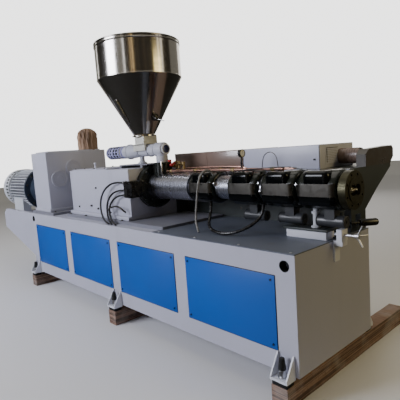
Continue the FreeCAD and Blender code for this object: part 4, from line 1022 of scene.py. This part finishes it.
class EXTRUDER_OT_barrel(ExtruderStep, bpy.types.Operator):
    """Rear flange, heater shrouds with their lips and lugs, copper pipes, gauge and thin tubes"""
    bl_idname = "extruder.barrel"
    bl_label = "Barrel"

    def execute(self, context):
        sizes = context.scene.extruder_sizes
        low, high = PLACE["barrel_rear_flange"]
        axis = (low.z + high.z) / 2
        radius, depth = (high.z - low.z) / 2, high.x - low.x
        flange = turned("rear_flange", [(0, 0), (radius, 0), (radius, depth - 0.006),
                                        (radius - 0.006, depth - 0.0002), (radius - 0.04, depth - 0.0002),
                                        (radius - 0.043, depth - 0.004), (0, depth - 0.004)],
                        (low.x, 0, axis), X, 96)
        dressed(flange, "iron", "dark_iron", "barrel_rear_flange")
        master = bolt("rear_flange_bolts", (high.x, 0, axis + radius - 0.021), X, sizes.flange_bolt)
        dressed(repeated(master, round_about((0, 0, axis), "X", 12, 0.2)), "iron", "dark_iron")

        hoods, drums, lips = [], [], []
        bore, reach, crown, turn = 0.0785, 0.12, 0.108, 0.0255
        upper_half, lower_half, lower_drop, joint = 0.075, 0.113, 0.082, axis + 0.008
        for name in ZONES:
            low, high = PLACE[name]
            middle = (low.x + high.x) / 2
            outline = [(bore, -reach), *arc((crown - turn, turn - reach), turn, -math.pi / 2, 0, 6),
                       *arc((crown - turn, reach - turn), turn, 0, math.pi / 2, 6), (bore, reach),
                       (bore, -reach)]
            drums.append(turned("drum", outline, (middle, 0, axis), X, 72))
            hoods.append(block("upper_hood", (middle - upper_half, low.y, joint),
                               (middle + upper_half, high.y, high.z - 0.001), 0.03, 10))
            hoods.append(block("lower_hood", (middle - lower_half, low.y, axis - lower_drop),
                               (middle + lower_half, high.y, joint), 0.036, 10))
            lip = lower_half + sizes.strip * 0.6
            lips.append(lip_block("lip", (middle - lip, low.y - sizes.strip * 0.6, axis + 0.0035),
                                  (middle + lip, high.y + sizes.strip * 0.6, axis + 0.0092), 0.037, 0.0012))
        dressed(joined("heater_hoods", *hoods), "shroud", "shroud_paint", "heater_zone_1", "heater_zone_2")
        dressed(joined("heater_drums", *drums), "drum", "shroud_paint", "heater_zone_3", "heater_zone_4")
        dressed(joined("hood_lips", *lips), "dark_steel", "shroud_paint")

        lugs = []
        for x, z in ((0.862, 0.03), (1.238, 0.034), (1.247, -0.012), (1.5, 0.03)):
            lugs.append(block("lug", (x, -0.094, axis + z - 0.013), (x + 0.006, -0.05, axis + z + 0.013),
                              0.002))
            lugs.append(bolt("lug_bolt", (x + 0.003, -0.094, axis + z), -Y, 0.007))
        dressed(joined("clamp_lugs", *lugs), "bright", "screw_steel")

        pipes = PLACE["oil_pipes"]
        top = pipes[1].z
        runs = [[(0.3, 0.09, axis + 0.115), (0.36, 0.092, axis + 0.128), (0.5, 0.094, axis + 0.13),
                 (0.62, 0.094, axis + 0.131), (0.74, 0.094, axis + 0.131), (0.9, 0.094, axis + 0.129),
                 (0.98, 0.096, axis + 0.122), (1.02, 0.1, axis + 0.1)], [(0.34, 0.13, axis + 0.09),
                                                                         (0.4, 0.14, axis + 0.104),
                                                                         (0.56, 0.142, axis + 0.108),
                                                                         (0.84, 0.142, axis + 0.108),
                                                                         (1.1, 0.142, axis + 0.108),
                                                                         (1.3, 0.142, axis + 0.108),
                                                                         (1.36, 0.138, axis + 0.104),
                                                                         (1.4, 0.11, axis + 0.098)]]
        dressed(joined("copper_lines", *[bent_pipe(f"copper_{i}", run, 0.0075) for i,
                                         run in enumerate(runs)]), "copper", "pipe_copper")
        unions = []
        for x, y in ((0.34, -0.023), (0.62, -0.023), (0.98, -0.023), (1.3, -0.023), (0.36, 0.023),
                     (0.6, 0.023), (0.82, 0.023)):
            unions.append(rod("union", (x - 0.014, y, top - 0.009), (x + 0.014, y, top - 0.009), 0.0135,
                              0.0015, 6))
        dressed(joined("pipe_unions", *unions), "brass", "pipe_copper")

        low, high = PLACE["pressure_gauge"]
        middle = (low + high) / 2
        face = (high.x - 0.0015, middle.y, high.z - 0.026)
        body = turned("gauge_case", [(0, -0.026), (0.02, -0.026), (0.0245, -0.022), (0.0258, -0.004),
                                     (0.0258, 0), (0.023, 0.001), (0.0222, -0.003), (0, -0.003)], face, X,
                      40)
        stem = rod("gauge_stem", (middle.x, 0, low.z), (middle.x, 0, high.z - 0.05), 0.0058, 0.0008, 20)
        nut = rod("gauge_nut", (middle.x, 0, low.z + 0.004), (middle.x, 0, low.z + 0.022), 0.0105, 0.001, 6)
        dressed(joined("gauge_body", body, stem, nut), "gloss_black", "gauge_metal", "pressure_gauge")
        dial = rod("gauge_dial", Vector(face) + X * -0.0032, Vector(face) + X * -0.0022, 0.0222, 0.0002, 40)
        dressed(dial, "dial", "gauge_metal")
        needle = block("gauge_needle", (face[0] - 0.0022, -0.001, face[2] - 0.004),
                       (face[0] - 0.0014, 0.001, face[2] + 0.016), 0.0003, 1)
        dressed(needle, "gloss_black", "gauge_metal")

        hoop = bent_pipe("wire_hoop", [(1.177, 0.03, 1.15), (1.18, 0.03, 1.2), (1.196, 0.03, 1.24),
                                       (1.225, 0.03, 1.257), (1.255, 0.03, 1.258), (1.285, 0.03, 1.238),
                                       (1.296, 0.03, 1.2), (1.3, 0.03, 1.15)], sizes.wire)
        dressed(hoop, "dark_steel", "fitting_steel")
        tube = bent_pipe("sensor_tube", [(1.06, -0.06, 1.15), (1.11, -0.06, 1.16), (1.19, -0.06, 1.1625),
                                         (1.29, -0.06, 1.168), (1.4, -0.06, 1.172), (1.47, -0.06, 1.168),
                                         (1.51, -0.06, 1.16), (1.56, -0.06, 1.151)], 0.0035)
        dressed(tube, "gloss_black", "hose_rubber")
        return {"FINISHED"}


class EXTRUDER_OT_under_barrel(ExtruderStep, bpy.types.Operator):
    """Barrel support, flange legs, lever and the blowers' guards"""
    bl_idname = "extruder.under_barrel"
    bl_label = "Under the barrel"

    def execute(self, context):
        low, high = PLACE["barrel_support"]
        top = low.z + 0.046
        box = block("support_box", (low.x + 0.012, -0.05, low.z), (high.x - 0.012, 0.05, top), 0.003)
        dressed(box, "white", "support_paint", "barrel_support")
        plate = block("support_plate", (low.x, -0.062, top), (high.x, 0.062, top + 0.012), 0.002)
        # Painted shade: thin black strips on the plate's top stand for the dark seen down its slots.
        slots = [block("slot", (x, -0.04, top + 0.0112), (x + 0.012, 0.04, top + 0.0126), 0.0004, 1)
                 for x in [low.x + 0.03 + 0.026 * i for i in range(9)]]
        dressed(plate, "stand", "support_paint")
        dressed(joined("plate_slot_shadows", *slots), "rubber", "support_paint")
        post = turned("support_post", [(0, 0), (0.026, 0), (0.026, 0.008), (0.015, 0.01), (0.015, 0.075),
                                       (0.021, 0.077), (0.021, 0.088), (0.013, 0.09), (0.013, 0.122),
                                       (0, 0.122)], (1.56, 0, top + 0.012), Z, 32)
        dressed(post, "motor", "support_paint")

        deck = PLACE["deck_plate"][1].z
        legs = []
        leg_x, tie_half = 1.64, 0.018
        for y in (0.044, 0.128):
            legs.append(rod("leg", (leg_x, y, deck), (leg_x, y, 0.948), 0.016, 0.002, 24))
            legs.append(rod("leg_foot", (leg_x, y, deck), (leg_x, y, deck + 0.01), 0.03, 0.002, 24))
        legs.append(block("leg_tie", (leg_x - tie_half, 0.02, 0.905), (leg_x + tie_half, 0.15, 0.93),
                          0.003))
        dressed(joined("flange_legs", *legs), "coupling", "coupling_paint")
        lever = turned("lever", [(0, 0), (0.01, 0), (0.01, 0.05), (0.019, 0.056), (0.021, 0.064),
                                 (0.021, 0.15), (0.018, 0.16), (0.01, 0.166), (0, 0.167)],
                       (1.668, 0.18, 0.83), (Vector((0.55, 0.83, -0.02))).normalized(), 32)
        dressed(lever, "gloss_black", "hose_rubber")

        guards = []
        blower_radius, blower_shift, blower_half = 0.032, 0.032, 0.075
        for zone in ZONES[1:]:
            low, high = PLACE[zone]
            middle = (low.x + high.x) / 2 + blower_shift
            height = PLACE["cooling_blowers"][0].z + blower_radius
            for end, way in ((middle + blower_half, X), (middle - blower_half, -X)):
                guards.append(turned("guard", [(0.01, 0), (0.026, 0), (0.0315, 0.001), (0.0335, 0.004),
                                               (0.0325, 0.007), (0.029, 0.008), (0.026, 0.004),
                                               (0.01, 0.004), (0.01, 0)], (end, 0, height), way, 32))
        dressed(joined("blower_guards", *guards), "blower", "blower_metal")
        return {"FINISHED"}


class EXTRUDER_OT_feeder(ExtruderStep, bpy.types.Operator):
    """Feeder gear casting, collars, sight glass, spout, neck and throat hardware"""
    bl_idname = "extruder.feeder"
    bl_label = "Feeder"

    def execute(self, context):
        low, high = PLACE["feeder_gear"]
        axis = (low.z + high.z) / 2
        length = high.x - low.x
        gear = turned("feeder_gear_case", [
            (0, 0), (0.052, 0), (0.053, 0.004), (0.053, 0.03), (0.04, 0.034), (0.04, 0.046), (0.0635, 0.05),
            (0.064, 0.054), (0.064, 0.064), (0.062, 0.067), (0.058, 0.07), (0.0565, 0.12), (0.054, 0.15),
            (0.05, 0.17), (0.05, length - 0.0005), (0, length - 0.0005)], (low.x, 0, axis), X, 64)
        dressed(gear, "feeder", "feeder_metal", "feeder_gear")
        master = bolt("feeder_gear_bolts", (low.x + 0.05, 0, axis + 0.055), -X, 0.006)
        dressed(repeated(master, round_about((0, 0, axis), "X", 8, 0.2)), "dark_steel", "die_steel")

        low, high = PLACE["feeder_motor"]
        band = block("motor_bands", (-0.0205, -0.0085, axis + 0.047), (0.0205, 0.0085, axis + 0.0545),
                     0.002, 1)
        spots = [Matrix.Translation((x, 0, 0)) @ turn for x in (low.x + 0.062, low.x + 0.122, low.x + 0.182)
                 for turn in round_about((0, 0, axis), "X", 12, 0.13)]
        dressed(repeated(band, spots), "iron", "feeder_motor_paint")
        ring = turned("motor_ring", [(0.049, 0), (0.0555, 0), (0.056, 0.002), (0.056, 0.016),
                                     (0.0555, 0.018), (0.049, 0.018), (0.049, 0)],
                      (high.x - 0.042, 0, axis), X, 48)
        dressed(ring, "olive", "feeder_motor_paint")

        low, high = PLACE["feeder_body"]
        collars = []
        for x, radius, width in ((-0.07, 0.053, 0.016), (0.07, 0.0525, 0.01), (0.15, 0.0525, 0.01)):
            collars.append(turned("collar", [(0.047, 0), (radius, 0), (radius + 0.001, 0.002),
                                             (radius + 0.001, width - 0.002), (radius, width),
                                             (0.047, width), (0.047, 0)], (x, 0, axis), X, 48))
        shoulder = turned("elbow", [(0, 0), (0.052, 0), (0.054, 0.004), (0.054, 0.08), (0.05, 0.09),
                                    (0.042, 0.094), (0, 0.094)], (0.166, 0, axis), X, 48)
        spout = turned("spout", [(0.0345, 0.016), (0.0345, -0.03), (0.036, -0.045), (0.046, -0.049),
                                 (0.047, -0.058), (0.046, -0.0995), (0.0345, -0.0995), (0.03, 0.016),
                                 (0.0345, 0.016)], (FEEDER_DROP_X, 0, axis), Z, 40)
        leg_foot = turned("leg_foot", [(0.0202, 0), (0.038, 0), (0.038, 0.01), (0.026, 0.014),
                                       (0.0202, 0.03), (0.0202, 0)],
                          (-0.058, 0, PLACE["feeder_bracket"][1].z), Z, 32)
        dressed(joined("feeder_castings", *collars, shoulder, spout, leg_foot), "feeder", "feeder_metal")
        rim = turned("sight_rim", [(0.03, -0.001), (0.0405, -0.001), (0.0412, 0.002), (0.0405, 0.005),
                                   (0.033, 0.0055), (0.031, 0.0035), (0.03, -0.001)],
                     (high.x - 0.001, 0, axis), X, 48)
        dressed(rim, "white", "feeder_metal")
        pane = turned("sight_pane", [(0, 0.0022), (0.02, 0.002), (0.0315, 0.0012), (0.0315, -0.0005),
                                     (0, -0.0005)], (high.x, 0, axis), X, 48)
        dressed(pane, "glass", "junction_plastic")

        low, high = PLACE["hopper_neck"]
        neck = block("hopper_neck_box", (low.x, low.y, axis + 0.0495), high, 0.004)
        pick(neck, lambda centre, normal: normal.z > 0.9)
        bpy.ops.mesh.select_more()
        bpy.ops.mesh.select_more()
        bpy.ops.transform.resize(value=(0.72, 0.78, 1.0), center_override=(high.x - 0.03, 0, high.z))
        bpy.ops.object.mode_set(mode="OBJECT")
        cheeks = [block("neck_cheek", (low.x + 0.006, side * 0.055 - 0.01, axis - 0.002),
                        (high.x - 0.006, side * 0.055 + 0.01, axis + 0.055), 0.003) for side in (-1, 1)]
        dressed(joined("neck_box", neck, *cheeks), "neck", "neck_paint", "hopper_neck")

        low, high = PLACE["feed_throat"]
        cap = turned("throat_flange", [(0.036, 0), (0.07, 0), (0.0715, 0.002), (0.0715, 0.01),
                                       (0.07, 0.012), (0.036, 0.012), (0.036, 0)],
                     (FEEDER_DROP_X, 0, high.z - 0.0115), Z, 48)
        dressed(cap, "iron", "dark_iron")
        clamp = rod("throat_rod", (0.2725, -0.058, 1.12), (0.2725, -0.058, high.z + 0.012), 0.006, 0.001,
                    16)
        dressed(clamp, "bright", "screw_steel")
        brass = [turned("elbow_nut", [(0, 0), (0.012, 0), (0.012, 0.016), (0.009, 0.018), (0.009, 0.036),
                                      (0.013, 0.038), (0.013, 0.052), (0, 0.052)], spot, way, 20) for spot,
                 way in (((0.3, 0.06, 1.18), Z), ((0.34, 0.06, 1.176), Z), ((0.392, 0.064, 1.17), Z),
                         ((0.284, 0.045, 1.196), X), ((0.33, 0.06, 1.208), X))]
        dressed(joined("brass_fittings", *brass), "brass", "pipe_copper")
        caps = [rod("red_cap", spot, Vector(spot) + X * 0.02, 0.012, 0.003, 20) for spot in
                ((0.276, 0.015, 1.236), (0.288, 0.045, 1.214), (0.3, 0.01, 1.206))]
        dressed(joined("red_caps", *caps), "red", "pipe_copper")
        return {"FINISHED"}


class EXTRUDER_OT_hopper(ExtruderStep, bpy.types.Operator):
    """The stainless hopper with its beads, seams, window and level sensor"""
    bl_idname = "extruder.hopper"
    bl_label = "Hopper"

    def execute(self, context):
        low, high = PLACE["hopper"]
        top = high.z - 0.006
        cone = 0.446
        rim, outlet, wall = 0.334, 0.081, 0.003
        height = top - low.z
        bead = [(rim + 0.0055 * math.sin(math.pi * i / 6), height - 0.028 + 0.012 * i / 6)
                for i in range(7)]
        lip = arc((rim - 0.0015, height), 0.006, -0.45 * math.pi, 0.925 * math.pi, 11)
        outline = [(outlet - wall, 0), (outlet + 0.016, 0), (outlet + 0.016, 0.008), (outlet + wall, 0.008),
                   (rim - 0.0016, cone - 0.003), (rim + 0.0012, cone), (rim + 0.0012, cone + 0.005),
                   (rim, cone + 0.0065)]
        outline += bead + lip + [(rim - wall, height - 0.004), (rim - wall, cone + 0.002),
                                 (outlet - wall, 0)]
        shell = turned("hopper_shell", outline, (0, 0, low.z), Z, 160)
        dressed(shell, "hopper", "hopper_steel", "hopper")
        seam = bent_pipe("hopper_seam", [(rim + 0.0005, 0, low.z + cone + 0.01),
                                         (rim + 0.0005, 0, low.z + 0.52), (rim + 0.0005, 0, low.z + 0.6),
                                         (rim + 0.0005, 0, high.z - 0.04)], 0.0016)
        settled(seam, Matrix.Rotation(math.radians(118), 4, "Z"))
        dressed(seam, "hopper", "hopper_steel")

        foot = Vector((outlet + wall, 0, low.z + 0.008))
        slope = Vector((rim - outlet - wall, 0, cone - 0.008))
        lean = math.atan2(slope.x, slope.z)
        spot = foot + slope * 0.42
        frame_piece = block("window_frame", (0.0005, -0.019, -0.104), (0.0085, 0.019, 0.104), 0.003, 3)
        sunk(frame_piece, lambda centre, normal: normal.x > 0.9, 0.007, 0.003)
        pane = block("window_pane", (0.0056, -0.0105, -0.095), (0.0064, 0.0105, 0.095), 0.0003, 1)
        for piece in (frame_piece, pane):
            settled(piece, Matrix.Rotation(-math.pi / 2, 4, "Z") @ Matrix.Translation(spot)
                    @ Matrix.Rotation(lean, 4, "Y"))
        dressed(frame_piece, "bright", "fitting_steel", "hopper_fittings")
        dressed(pane, "glass", "fitting_steel")
        spot = foot + slope * 0.3
        sensor = turned("level_sensor", [(0, 0.042), (0.014, 0.042), (0.0175, 0.039), (0.0175, 0.02),
                                         (0.022, 0.018), (0.022, 0.01), (0.03, 0.008), (0.03, 0.0005),
                                         (0, 0.0005)], (0, 0, 0), X, 40)
        stalk = rod("sensor_rod", (0.036, 0, 0), (0.098, 0.02, 0.01), 0.0035, 0.0008, 16)
        for piece in (sensor, stalk):
            settled(piece, Matrix.Translation(spot) @ Matrix.Rotation(lean, 4, "Y"))
        dressed(sensor, "dark_steel", "fitting_steel")
        dressed(stalk, "bright", "fitting_steel")
        return {"FINISHED"}


class EXTRUDER_OT_shelf(ExtruderStep, bpy.types.Operator):
    """Control box with its louvre and seams, duct box, duct collars and the shelf's edge"""
    bl_idname = "extruder.shelf"
    bl_label = "Rear shelf"

    def execute(self, context):
        sizes = context.scene.extruder_sizes
        low, high = PLACE["control_box"]
        box = block("control_case", low, high, sizes.edge_round, 3)
        dressed(box, "control", "control_paint", "control_box")
        slats, slit_shadows = [], []
        for step in range(9):
            z = low.z + 0.034 + step * 0.0102
            slat = block("slat", (high.x - 0.002, 0.3, z), (high.x + 0.006, 0.43, z + 0.0062), 0.0008, 1)
            pick(slat, lambda centre, normal: normal.x > 0.9)
            bpy.ops.transform.translate(value=(0, 0, -0.0035))
            bpy.ops.object.mode_set(mode="OBJECT")
            slats.append(slat)
            # Painted shade: thin black strips between the slats stand for the dark gaps of the louvre.
            slit_shadows.append(block("slit_shadow", (high.x, 0.298, z + 0.006), (high.x + 0.0024, 0.432, z + 0.01),
                               0.0003, 1))
        border = block("louvre_plate", (high.x - 0.001, 0.288, low.z + 0.022), (high.x + 0.0016, 0.442,
                                                                                low.z + 0.136), 0.001, 1)
        dressed(border, "control", "control_paint")
        dressed(joined("louvre_slit_shadows", *slit_shadows), "rubber", "control_paint")
        dressed(joined("louvre_slats", *slats), "control", "control_paint")
        seams = [block("seam", (x, low.y - 0.0006, low.z + 0.006), (x + 0.003, low.y + 0.002,
                                                                    high.z - 0.006), 0.0003, 1)
                 for x in (low.x + 0.003, high.x - 0.006)]
        dressed(joined("control_seams", *seams), "rubber", "control_paint")
        height = low.z + 0.06
        knob = rod("control_knob", (high.x - 0.035, low.y + 0.001, height), (high.x - 0.035, low.y - 0.01,
                                                                             height), 0.006, 0.001, 16)
        dressed(knob, "gloss_black", "junction_plastic")

        low, high = PLACE["duct_box"]
        box = block("duct_case", low, high, sizes.edge_round, 3)
        dressed(box, "duct", "duct_paint", "duct_box")
        ribs = [block("rib", (x, low.y - 0.002, low.z), (x + 0.012, high.y + 0.002, high.z + 0.002), 0.001,
                      1) for x in (low.x + 0.001, (low.x + high.x) / 2, high.x - 0.013)]
        dressed(joined("duct_ribs", *ribs), "duct", "duct_paint")

        low, high = PLACE["rear_stand"]
        edge = block("shelf_edge", (low.x, 0.2035, high.z - 0.0205), (high.x, 0.2062, high.z + 0.001),
                     0.0008, 1)
        dressed(edge, "bright", "stand_paint")
        start, pipe_y = PLACE["control_box"][1].x, 0.462
        pipe_height = PLACE["rear_duct"][0].z + 0.066
        rings = [turned("ring", [(0.0455, 0), (0.0485, 0.001), (0.0485, 0.007), (0.0455, 0.008),
                                 (0.0455, 0)], (start + 0.006 + i * 0.017, pipe_y, pipe_height), X, 40)
                 for i in range(8)]
        dressed(joined("duct_rings", *rings), "hood", "rear_duct_paint")
        return {"FINISHED"}


class EXTRUDER_OT_paint(ExtruderStep, bpy.types.Operator):
    """Gives each carried-over CAD part its finish"""
    bl_idname = "extruder.paint"
    bl_label = "Paint the CAD parts"

    def execute(self, context):
        for name, finish in CARRIED.items():
            part = frame["nodes"][name]
            part.data.materials.clear()
            part.data.materials.append(finishes[finish])
        return {"FINISHED"}


class EXTRUDER_PT_panel(bpy.types.Panel):
    """Lists the steps and what they read"""
    bl_idname = "EXTRUDER_PT_panel"
    bl_label = "Plastic extruder"
    bl_space_type = "VIEW_3D"
    bl_region_type = "UI"
    bl_category = "Extruder"

    def draw(self, context):
        for step in STEPS:
            self.layout.operator(step.bl_idname)
        for group in (context.scene.extruder_paints, context.scene.extruder_sizes):
            column = self.layout.column()
            for name in group.__annotations__:
                column.prop(group, name)


STEPS = (EXTRUDER_OT_stage, EXTRUDER_OT_cords, EXTRUDER_OT_bed, EXTRUDER_OT_feet, EXTRUDER_OT_motor,
         EXTRUDER_OT_gearboxes, EXTRUDER_OT_barrel, EXTRUDER_OT_under_barrel, EXTRUDER_OT_feeder, EXTRUDER_OT_hopper,
         EXTRUDER_OT_shelf, EXTRUDER_OT_paint)
CLASSES = (ExtruderPaints, ExtruderSizes, *STEPS, EXTRUDER_PT_panel)


def register():
    for thing in CLASSES:
        bpy.utils.register_class(thing)
    bpy.types.Scene.extruder_paints = bpy.props.PointerProperty(type=ExtruderPaints)
    bpy.types.Scene.extruder_sizes = bpy.props.PointerProperty(type=ExtruderSizes)


def unregister():
    del bpy.types.Scene.extruder_sizes
    del bpy.types.Scene.extruder_paints
    for thing in reversed(CLASSES):
        bpy.utils.unregister_class(thing)


def main():
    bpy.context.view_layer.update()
    register()
    finishes.update(make_finishes(bpy.context.scene.extruder_paints))
    for step in STEPS:
        area, name = step.bl_idname.split(".")
        getattr(getattr(bpy.ops, area), name)()
    bpy.context.view_layer.update()


if __name__ == "__main__":
    main()
